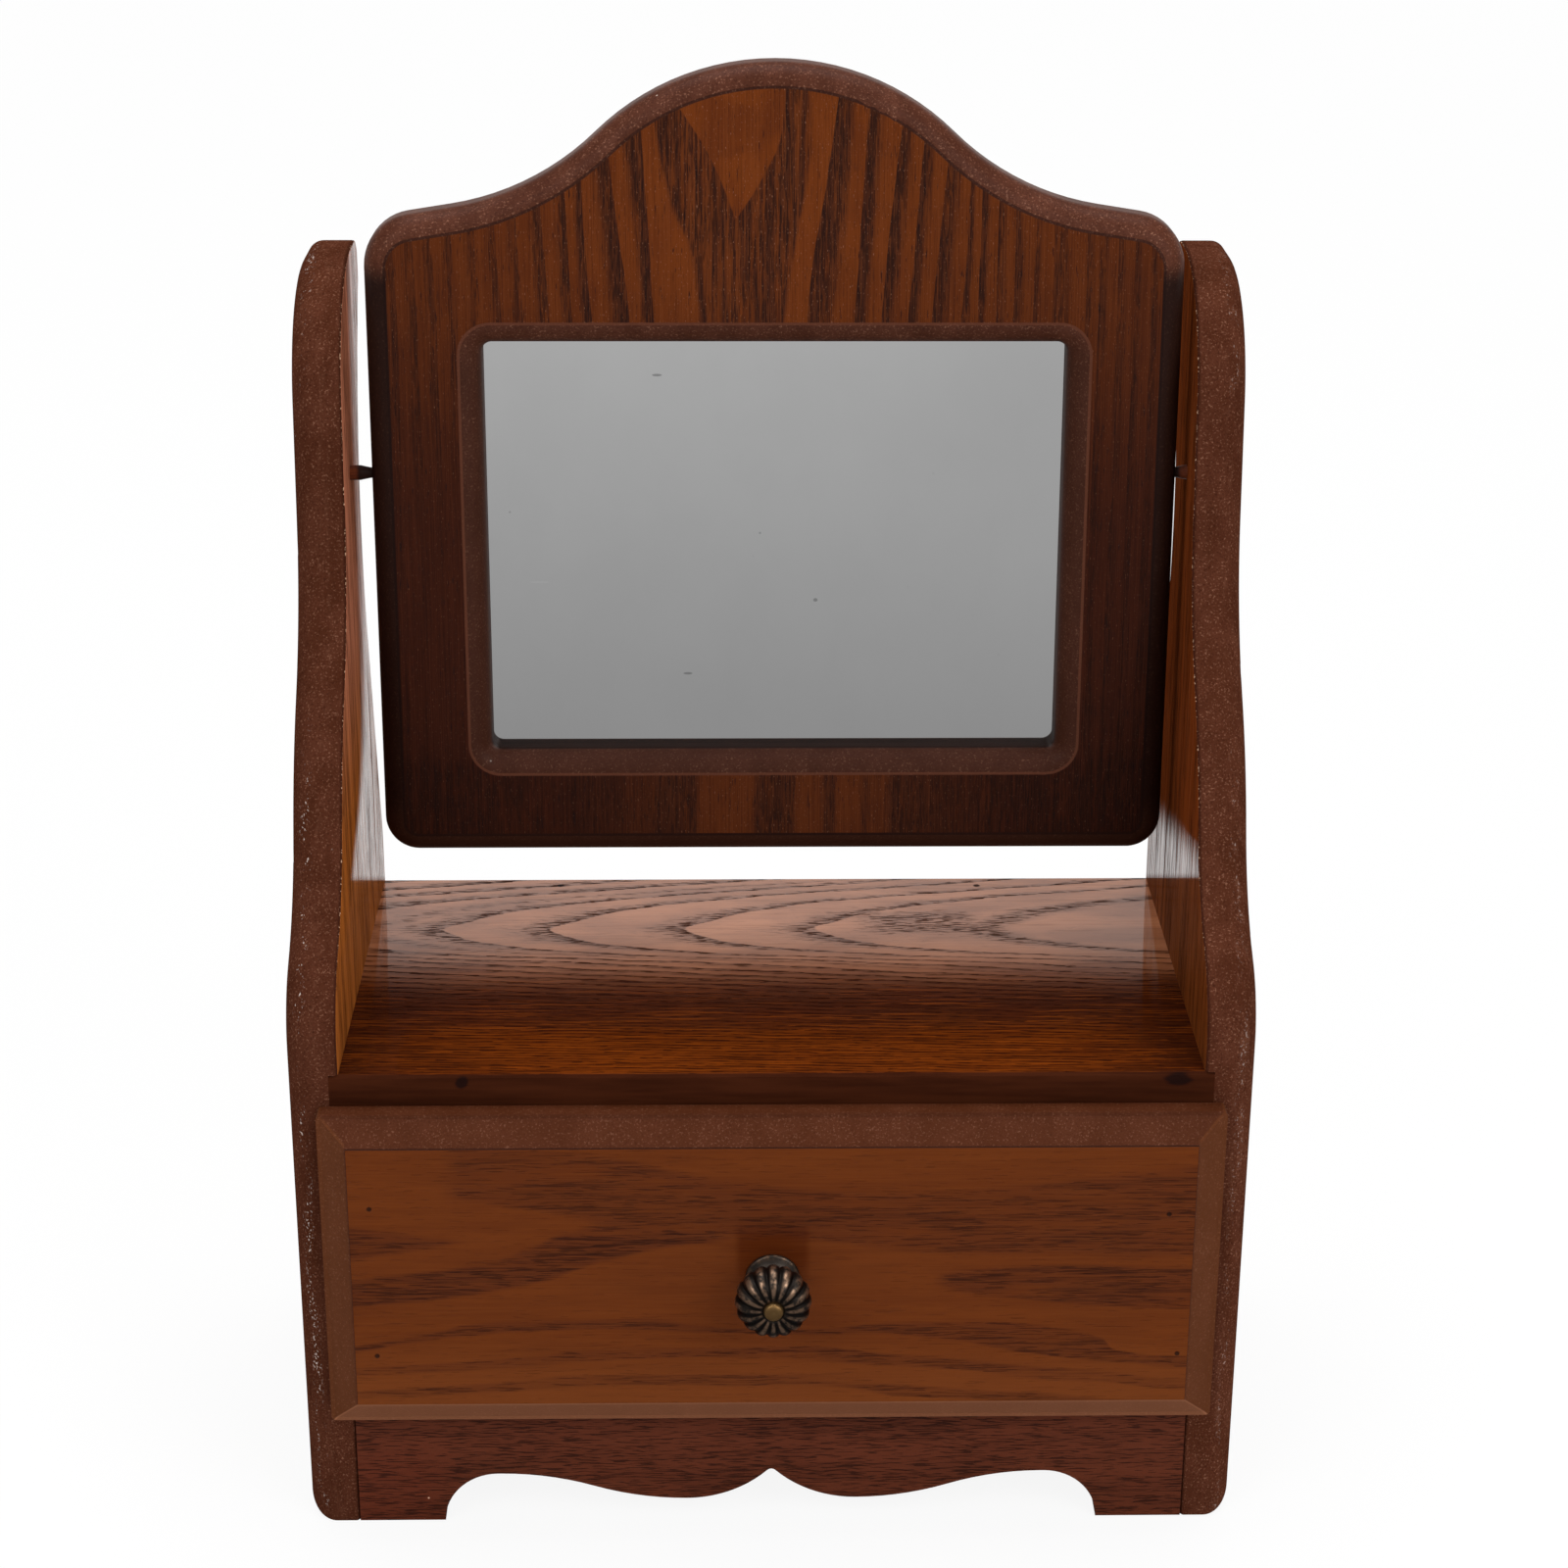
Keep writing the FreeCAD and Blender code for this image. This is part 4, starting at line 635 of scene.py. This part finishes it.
def frame_finish():
    finish = Finish("veneer_on_mirror_frame")
    frame_x, out, up = frame_place(finish)
    x = frame_x + FRAME_OFFSET
    stray = waver(finish, up, x, out, 0.9, 60.0, 7.0)
    grain, wedge = frame_grain(finish, x, out, up, stray)
    patchy = finish.noise(finish.vector(x / 1.6, up / 16.0, out / 5.0), 3.0, 0.6)
    apart = abs(x).rise(40.0, 66.0)
    dark = grain * patchy.rise(0.12 + apart * 0.2, 0.55 + apart * 0.05)
    dash = pores(finish, up, x + stray, out, grain, 4.5, 0.36)
    cloud = finish.noise(finish.vector(x / 9.0, up / 14.0, out / 5.0), 2.0, 0.5).rise(0.42, 0.7)
    fine = fibres(finish, up, x + stray * 0.5, out)
    # Warm and pale over the arch, and a little in the middle of the bar below the glass: partly the veneer's
    # own tone, partly painted light from above
    middle = (1 - abs(x + 4.0) / 120.0).most(0.0)
    arch = up.rise(-15.0, 66.0) * (0.29 + middle * 0.8)
    low_bar = up.rise(-62.0, -80.0) * (1 - abs(x - 5.0) / 62.0).rise(0.0, 0.8) * 0.52
    warm = arch.most(low_bar).least(1.0)
    light = finish.mix(warm, stain(50, 20, 9), stain(98, 45, 13))
    light = finish.mix(cloud * 0.45, light, finish.mix(warm, stain(44, 18, 10), stain(80, 34, 12)))
    light = finish.mix(wedge * cloud.rise(0.0, 0.6) * 0.5, light, stain(82, 36, 13))
    colour = finish.mix(dark * 0.85, light, finish.mix(warm, stain(34, 15, 9), stain(47, 24, 17)))
    pale_fibre = finish.mix(warm, stain(74, 34, 19), stain(116, 60, 27))
    colour = finish.mix(fine.rise(0.45, 0.7) * 0.35, colour, pale_fibre)
    dark_fibre = finish.mix(warm, stain(26, 12, 9), stain(58, 26, 12))
    colour = finish.mix(fine.rise(0.46, 0.3) * 0.45, colour, dark_fibre)
    colour = finish.mix(dash * (grain * 0.5 + 0.15), colour, stain(30, 15, 11))
    ticks = finish.noise(finish.vector(x / 0.5, up / 5.0, out / 2.0), 1.5, 0.6)
    colour = finish.mix(ticks.rise(0.62, 0.7) * (patchy.rise(0.4, 0.6) * 0.6 + 0.2), colour,
                        stain(24, 15, 15))
    glint = finish.noise(finish.vector(x / 0.3, up / 0.9, out / 0.3), 1.0, 0.5)
    colour = finish.mix(glint.rise(0.66, 0.76) * (warm * 0.35 + 0.2), colour, stain(146, 100, 78))
    # Pale flecks: painted glints.
    flecks = finish.specks(finish.vector(x, out, up), 20.0, 0.28, 0.4)
    colour = finish.mix(flecks * 0.75, colour, stain(215, 190, 165))
    edge_colour, grit = frame_edges(finish, x, out, up, frame_x)
    field = out.rise(FRAME_FRONT_DEPTH - 0.03, FRAME_FRONT_DEPTH - 0.01)
    height = (fine * 0.3 - dash * 0.5) * field + grit * (1 - field) * 0.6
    return finish.surface(finish.mix(field, edge_colour, colour), 0.45 - field * 0.15, height, 0.09,
                          VARNISH)


# Plain boards, hardboard and dowels

def plain_board_finish(name, along, pale, deep):
    """An unvarnished board; along is the axis of its grain, 0, 1 or 2."""
    finish = Finish(name)
    place = finish.place()
    length = place[along]
    across, deep_way = (place[axis] for axis in range(3) if axis != along)
    stray = waver(finish, length, across, deep_way, 2.0, 70.0, 12.0)
    rings = finish.noise(finish.vector(length / 120.0, (across + stray) / 3.4, deep_way / 3.4), 2.0, 0.6)
    fine = fibres(finish, length, across + stray, deep_way, 0.3)
    dash = pores(finish, length, across + stray, deep_way, rings.rise(0.4, 0.7), 8.0, 0.45)
    colour = finish.mix(rings.rise(0.3, 0.7), stain(*pale), stain(*deep))
    paler = (min(255, value + 22) for value in pale)
    deeper = (int(value * 0.6) for value in deep)
    colour = finish.mix(fine.rise(0.4, 0.75) * 0.3, colour, stain(*paler))
    colour = finish.mix(dash * 0.4, colour, stain(*deeper))
    return finish.surface(colour, 0.55 + fine * 0.15, fine * 0.5 - dash * 0.5, 0.08,
                          {"Specular IOR Level": 0.35})


def hardboard_finish():
    finish = Finish("brown_hardboard")
    x, y, z = finish.place()
    felt = finish.noise(finish.vector(x / 1.2, y / 1.2, z / 1.2), 3.0, 0.7)
    clouds = finish.noise(finish.vector(x / 22.0, y / 22.0, z / 22.0), 2.0, 0.5)
    colour = finish.mix(felt.rise(0.3, 0.7), stain(104, 72, 46), stain(136, 98, 64))
    colour = finish.mix(clouds.rise(0.35, 0.7) * 0.35, colour, stain(92, 60, 38))
    return finish.surface(colour, 0.5 + felt * 0.15, felt, 0.05, {"Specular IOR Level": 0.4})


# Nearer the middle than this, each pivot pin is thin and painted dark: painted shade in the gap beside the
# frame.
PIN_NECK = 105.0


def dowel_finish():
    finish = Finish("stained_dowel")
    x, y, z = finish.place()
    fine = finish.noise(finish.vector(x / 9.0, y / 0.3, z / 0.3), 2.0, 0.6)
    neck = abs(x).rise(PIN_NECK + 0.6, PIN_NECK - 0.6)
    colour = finish.mix(fine.rise(0.35, 0.7), stain(78, 34, 17), stain(94, 44, 22))
    colour = finish.mix(neck * 0.9, colour, stain(24, 16, 14))
    return finish.surface(colour, 0.4, fine, 0.06, VARNISH)


# Mirror glass

# Small marks on the glass: right and up from the pivot, half length across and up, and how light
GLASS_MARKS = ((-74.6, 18.9, 0.9, 0.4, 0.95), (-29.9, 24.6, 1.3, 0.35, 0.25), (-60.8, -30.0, 2.6, 0.3, 0.95),
               (-22.5, -54.9, 1.2, 0.35, 0.3), (72.8, 34.3, 0.5, 0.9, 0.2), (10.8, -34.9, 0.6, 0.5, 0.3))


def glass_finish():
    finish = Finish("silvered_glass")
    x, out, up = frame_place(finish)
    smear = finish.noise(finish.vector(x / 26.0, out, up / 34.0), 4.0, 0.6)
    flecks = finish.specks(finish.vector(x, out, up), 17.0, 0.42, 0.35)
    faint = finish.specks(finish.vector(x + 5.0, out, up), 8.0, 0.22, 0.3)
    colour = finish.mix(smear.rise(0.3, 0.8), grey(0.90), grey(0.87))
    # Darker towards the upper right, unevenly.
    darker_upper_right = x.rise(10.0, 62.0) * up.rise(-30.0, 24.0) * (0.5 + smear * 0.7)
    colour = finish.mix(darker_upper_right.least(1.0), colour, grey(0.81))
    colour = finish.mix(flecks.most(faint * 0.6) * 0.5, colour, (0.30, 0.31, 0.32, 1.0))
    for across, height, half_width, half_height, lightness in GLASS_MARKS:
        reach = (((x - across) / half_width) ** 2.0 + ((up - height) / half_height) ** 2.0)
        colour = finish.mix(reach.rise(1.3, 0.5) * 0.6, colour, grey(lightness))
    roughness = 0.025 + smear.rise(0.45, 0.8) * 0.07
    return finish.surface(colour, roughness, smear, 0.001, {"Metallic": 1.0})


# Metal

def bronze_finish():
    finish = Finish("antique_bronze")
    x, y, z = finish.place()
    up = z - KNOB_HEIGHT
    turn = finish.add("ShaderNodeMath", {"operation": "ARCTAN2"}, {0: up, 1: x})
    reach = (x * x + up * up) ** 0.5
    out = DRAWER_FIELD_FACE - y
    crest = (turn * float(FLUTE_COUNT)).cosine().rise(-0.75, 0.85)
    roll = reach.rise(2.6, 3.4) * out.rise(4.5, 6.5)
    wear = finish.noise(finish.vector(x / 1.6, y / 1.6, z / 1.6), 3.0, 0.6)
    rubbed_and_shine = crest * roll * wear.rise(0.36, 0.62)
    flange = out.rise(2.6, 1.6) * reach.rise(5.4, 6.6)
    button = reach.rise(2.7, 2.3) * out.rise(14.5, 15.5)
    colour = finish.mix(rubbed_and_shine * 0.85, stain(58, 51, 46), stain(160, 128, 104))
    colour = finish.mix((1 - crest) * roll * 0.85, colour, stain(20, 16, 14))
    colour = finish.mix(flange * wear.rise(0.4, 0.7) * 0.7, colour, stain(120, 92, 72))
    colour = finish.mix(button * 0.9, colour, finish.mix(wear, stain(120, 88, 48), stain(160, 126, 80)))
    pitted = finish.noise(finish.vector(x / 0.35, y / 0.35, z / 0.35), 2.0, 0.6)
    roughness = 0.42 - rubbed_and_shine * 0.12 - flange * 0.08 + pitted * 0.08
    return finish.surface(colour, roughness, pitted + wear * 0.6, 0.03, {"Metallic": 0.9})


def steel_finish():
    finish = Finish("plain_steel")
    x, y, z = finish.place()
    dull = finish.noise(finish.vector(x / 0.8, y / 0.8, z / 0.8), 3.0, 0.6)
    colour = finish.mix(dull.rise(0.3, 0.7), stain(120, 117, 112), stain(165, 162, 156))
    return finish.surface(colour, 0.3 + dull * 0.2, dull, 0.02, {"Metallic": 1.0})


# Knob: the whole head, with sixteen petals

FLUTE_COUNT = 16
KNOB_SEGMENTS = 14 * FLUTE_COUNT
# The roll's section is part of a circle: the way of its middle from the knob's axis and from the drawer's
# field, its radius, and the turn it starts at and goes through from the neck to the button.
ROLL_OFFSET = 4.2
ROLL_RISE = 11.3
ROLL_RADIUS = 5.3
ROLL_START = 86.0
ROLL_SWEEP = 192.0
ROLL_STEPS = 44
FLUTE_DEPTH = 0.8
# Radius and rise of the plain turned parts; the rise is the way out from the drawer's field.
KNOB_FOOT = ((0.0, 0.0), (6.2, 0.0), (6.7, 0.12), (6.85, 0.45), (6.82, 0.8), (6.6, 1.08), (6.2, 1.26),
             (5.4, 1.62), (4.7, 2.1), (4.15, 2.8), (3.8, 3.6), (3.65, 4.4), (3.75, 5.2), (4.1, 5.9))
KNOB_BUTTON = ((2.55, 15.6), (2.42, 16.0), (2.38, 16.7), (2.2, 17.2), (1.8, 17.48), (1.1, 17.58),
               (0.0, 17.6))


def knob_profile():
    """Radius, rise and depth of the flutes, from the foot to the tip."""
    profile = [(radius, out, 0.0) for radius, out in KNOB_FOOT]
    for step in range(ROLL_STEPS + 1):
        turn = math.radians(ROLL_START - ROLL_SWEEP * step / ROLL_STEPS)
        radius = ROLL_OFFSET + ROLL_RADIUS * math.cos(turn)
        share = min(1.0, 0.1 + radius / (ROLL_OFFSET + ROLL_RADIUS))
        ends = min(1.0, step / 5, (ROLL_STEPS - step) / 3)
        profile.append((radius, ROLL_RISE - ROLL_RADIUS * math.sin(turn), FLUTE_DEPTH * share * ends))
    profile += [(radius, out, 0.0) for radius, out in KNOB_BUTTON]
    return profile


def petal_depth(turn):
    """How deep the flute is at a turn round the knob: round petals with sharp grooves."""
    phase = (turn * FLUTE_COUNT / (2 * math.pi)) % 1.0
    return (2 * abs(phase - round(phase))) ** 2.2


def knob_point(reach, turn, out):
    """A place on the knob, in metres: how far from its axis, at which turn and how far out."""
    return (reach * math.cos(turn) * MM, (DRAWER_FIELD_FACE - out) * MM,
            (KNOB_HEIGHT + reach * math.sin(turn)) * MM)


def make_knob():
    """Rings of points from the foot to the tip, closed by a fan of faces round one point at each end."""
    (_, foot_out, _), *profile, (_, tip_out, _) = knob_profile()
    turns = [2 * math.pi * segment / KNOB_SEGMENTS for segment in range(KNOB_SEGMENTS)]
    vertices = [knob_point(radius - depth * petal_depth(turn), turn, out)
                for radius, out, depth in profile for turn in turns]
    foot, tip = len(vertices), len(vertices) + 1
    vertices += [knob_point(0.0, 0.0, foot_out), knob_point(0.0, 0.0, tip_out)]
    rings = range(0, foot, KNOB_SEGMENTS)
    faces = []
    for segment in range(KNOB_SEGMENTS):
        after = (segment + 1) % KNOB_SEGMENTS
        faces.append((foot, segment, after))
        for low, high in zip(rings, rings[1:]):
            faces.append((low + segment, high + segment, high + after, low + after))
        faces.append((rings[-1] + segment, tip, rings[-1] + after))
    mesh = bpy.data.meshes.new("knob_head")
    mesh.from_pydata(vertices, [], faces)
    mesh.validate()
    mesh.shade_smooth()
    knob = bpy.data.objects.new("knob_head", mesh)
    bpy.context.scene.collection.objects.link(knob)
    mesh.materials.append(bronze_finish())
    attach(knob, "drawer")
    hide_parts("drawer_knob")


# Stage

def sight(finish, ray):
    """1 on rays of the named kind, such as Is Glossy Ray."""
    return finish.add("ShaderNodeLightPath", {}, {}, ray)


# How light the table looks in a reflection, by its place in millimetres from front (-) to back
TABLE_REFLECTED = ((-3200, 0.50), (-1150, 0.37), (-600, 0.25), (-460, 0.17), (-330, 0.08),
                   (-60, 0.06), (80, 0.5), (200, 1.0))
# In metres: how far the table reaches, and how little it lies under the feet
TABLE_REACH = 14.0
TABLE_DROP = 0.0003


def pale_floor():
    """A white table for the eye, and as light as the curve says in reflections."""
    finish = Finish("pale_table")
    x, y, z = finish.place()
    grain = finish.noise(finish.vector(x / 90.0, y / 90.0, z), 2.0, 0.5)
    reflected = finish.curve(y, TABLE_REFLECTED)
    seen = sight(finish, "Is Camera Ray").most(sight(finish, "Is Transmission Ray"))
    shown = finish.mix(seen.most(reflected), BLACK, WHITE)
    glow = finish.add("ShaderNodeEmission", {}, {"Color": shown, "Strength": 1.0})
    matt = finish.add("ShaderNodeBsdfDiffuse", {}, {"Color": finish.mix(grain, grey(0.86), grey(0.90))})
    near = ((x * x + y * y) ** 0.5).rise(900.0, 150.0)
    share = seen.most(sight(finish, "Is Glossy Ray")) * (0.98 - near * 0.08)
    shader = finish.add("ShaderNodeMixShader", {}, {0: share, 1: matt, 2: glow})
    finish.add("ShaderNodeOutputMaterial", {}, {"Surface": shader})
    mesh = bpy.data.meshes.new("table_top")
    corners = [(-TABLE_REACH, -TABLE_REACH, 0), (TABLE_REACH, -TABLE_REACH, 0),
               (TABLE_REACH, TABLE_REACH, 0), (-TABLE_REACH, TABLE_REACH, 0)]
    mesh.from_pydata(corners, [], [(0, 1, 2, 3)])
    floor = bpy.data.objects.new("table_top", mesh)
    floor.location = (0, 0, -TABLE_DROP)
    bpy.context.scene.collection.objects.link(floor)
    mesh.materials.append(finish.owner)


# How light the world is for matt faces
AMBIENT = 0.44
# How light the room looks in reflections: behind the object and in front of it
ROOM_BEHIND = 0.02
ROOM_IN_FRONT = 0.16
# The white backdrop ends this high, as the sine of the angle over the table.
BACKDROP_TOP = math.sin(math.radians(24.7))
BACKDROP_SOFTNESS = 0.006


def studio_world():
    """White for the eye, an even dim light for matt faces, a backdrop and a room for shining ones."""
    world = bpy.data.worlds.new("studio")
    bpy.context.scene.world = world
    finish = Finish("studio", world)
    way = finish.add("ShaderNodeTexCoord", {}, {}, "Generated")
    toward = finish.add("ShaderNodeSeparateXYZ", {}, {0: way}, "Y")
    upward = finish.add("ShaderNodeSeparateXYZ", {}, {0: way}, "Z")
    under_top = upward.rise(BACKDROP_TOP + BACKDROP_SOFTNESS, BACKDROP_TOP - BACKDROP_SOFTNESS)
    backdrop = toward.rise(-0.1, 0.3) * under_top
    room = toward.rise(0.2, -0.2) * (ROOM_IN_FRONT - ROOM_BEHIND) + ROOM_BEHIND
    reflected = finish.mix(room.most(backdrop), BLACK, WHITE)
    ambient = finish.mix(sight(finish, "Is Glossy Ray"), grey(AMBIENT), reflected)
    seen = sight(finish, "Is Camera Ray").most(sight(finish, "Is Transmission Ray"))
    colour = finish.mix(seen, ambient, WHITE)
    shader = finish.add("ShaderNodeBackground", {}, {"Color": colour, "Strength": 1.0})
    finish.add("ShaderNodeOutputWorld", {}, {"Surface": shader})


# Soft boxes: name, place, width, height and power; all are aimed at the middle of the object.
AIM = (0, 0, 0.17)
LAMPS = (
    ("right_softbox", (0.9, -1.0, 0.95), 0.9, 0.9, 10.5),
    ("left_softbox", (-0.85, -1.0, 1.15), 0.9, 0.9, 8.0),
    ("top_softbox", (0.0, 0.25, 1.5), 1.2, 0.9, 14.0),
)


def studio_lamps():
    for name, place, width, height, power in LAMPS:
        lamp = bpy.data.lights.new(name, "AREA")
        lamp.shape = "RECTANGLE"
        lamp.size = width
        lamp.size_y = height
        lamp.energy = power
        holder = bpy.data.objects.new(name, lamp)
        holder.location = place
        aim = Vector(AIM) - Vector(place)
        holder.rotation_euler = aim.to_track_quat("-Z", "Y").to_euler()
        bpy.context.scene.collection.objects.link(holder)


# Camera: its place, the way it looks and its lens, as the photograph was taken

CAMERA_PLACE = (-0.011665, -0.762972, 0.491436)
CAMERA_YAW = math.radians(1.13)
CAMERA_PITCH = math.radians(21.708)
CAMERA_ROLL = math.radians(-0.272)
CAMERA_LENS = 74.44
SENSOR_WIDTH = 36.0


def make_camera():
    ahead = Vector((math.sin(CAMERA_YAW) * math.cos(CAMERA_PITCH),
                    math.cos(CAMERA_YAW) * math.cos(CAMERA_PITCH), -math.sin(CAMERA_PITCH)))
    level = Vector((math.cos(CAMERA_YAW), -math.sin(CAMERA_YAW), 0.0))
    down = ahead.cross(level)
    right = math.cos(CAMERA_ROLL) * level + math.sin(CAMERA_ROLL) * down
    below = math.cos(CAMERA_ROLL) * down - math.sin(CAMERA_ROLL) * level
    data = bpy.data.cameras.new("photo_view")
    data.sensor_width = SENSOR_WIDTH
    data.lens = CAMERA_LENS
    data.clip_start = 0.01
    data.clip_end = 60.0
    camera = bpy.data.objects.new("photo_view", data)
    turned = Matrix((right, -below, -ahead)).transposed()
    camera.matrix_world = Matrix.Translation(CAMERA_PLACE) @ turned.to_4x4()
    bpy.context.scene.collection.objects.link(camera)
    bpy.context.scene.camera = camera


# All together

make_camera()
make_knob()

dress("side_panel_left", side_panel_finish("left_panel_veneer", left=True))
dress("side_panel_right", side_panel_finish("right_panel_veneer", left=False))
dress("shelf_board", shelf_finish())
dress("front_apron", apron_finish())
dress("drawer_front", drawer_front_finish())
dress("mirror_frame", frame_finish())
dress("mirror_glass", glass_finish())
dress("pivot_pins", dowel_finish())

level_board = plain_board_finish("plain_board_level", 0, (176, 136, 92), (150, 108, 68))
for board in ("floor_board", "back_board", "drawer_back"):
    dress(board, level_board)
long_board = plain_board_finish("plain_board_lengthways", 1, (178, 140, 96), (152, 112, 72))
for board in ("drawer_side_left", "drawer_side_right"):
    dress(board, long_board)
hardboard = hardboard_finish()
for board in ("drawer_bottom", "mirror_backing"):
    dress(board, hardboard)
steel = steel_finish()
for fastener in ("case_brads", "shelf_brads", "drawer_front_brads", "drawer_back_brads", "knob_screw",
                 "backing_screws"):
    dress(fastener, steel)

pale_floor()
studio_world()
studio_lamps()

scene = bpy.context.scene
scene.view_settings.view_transform = "Standard"
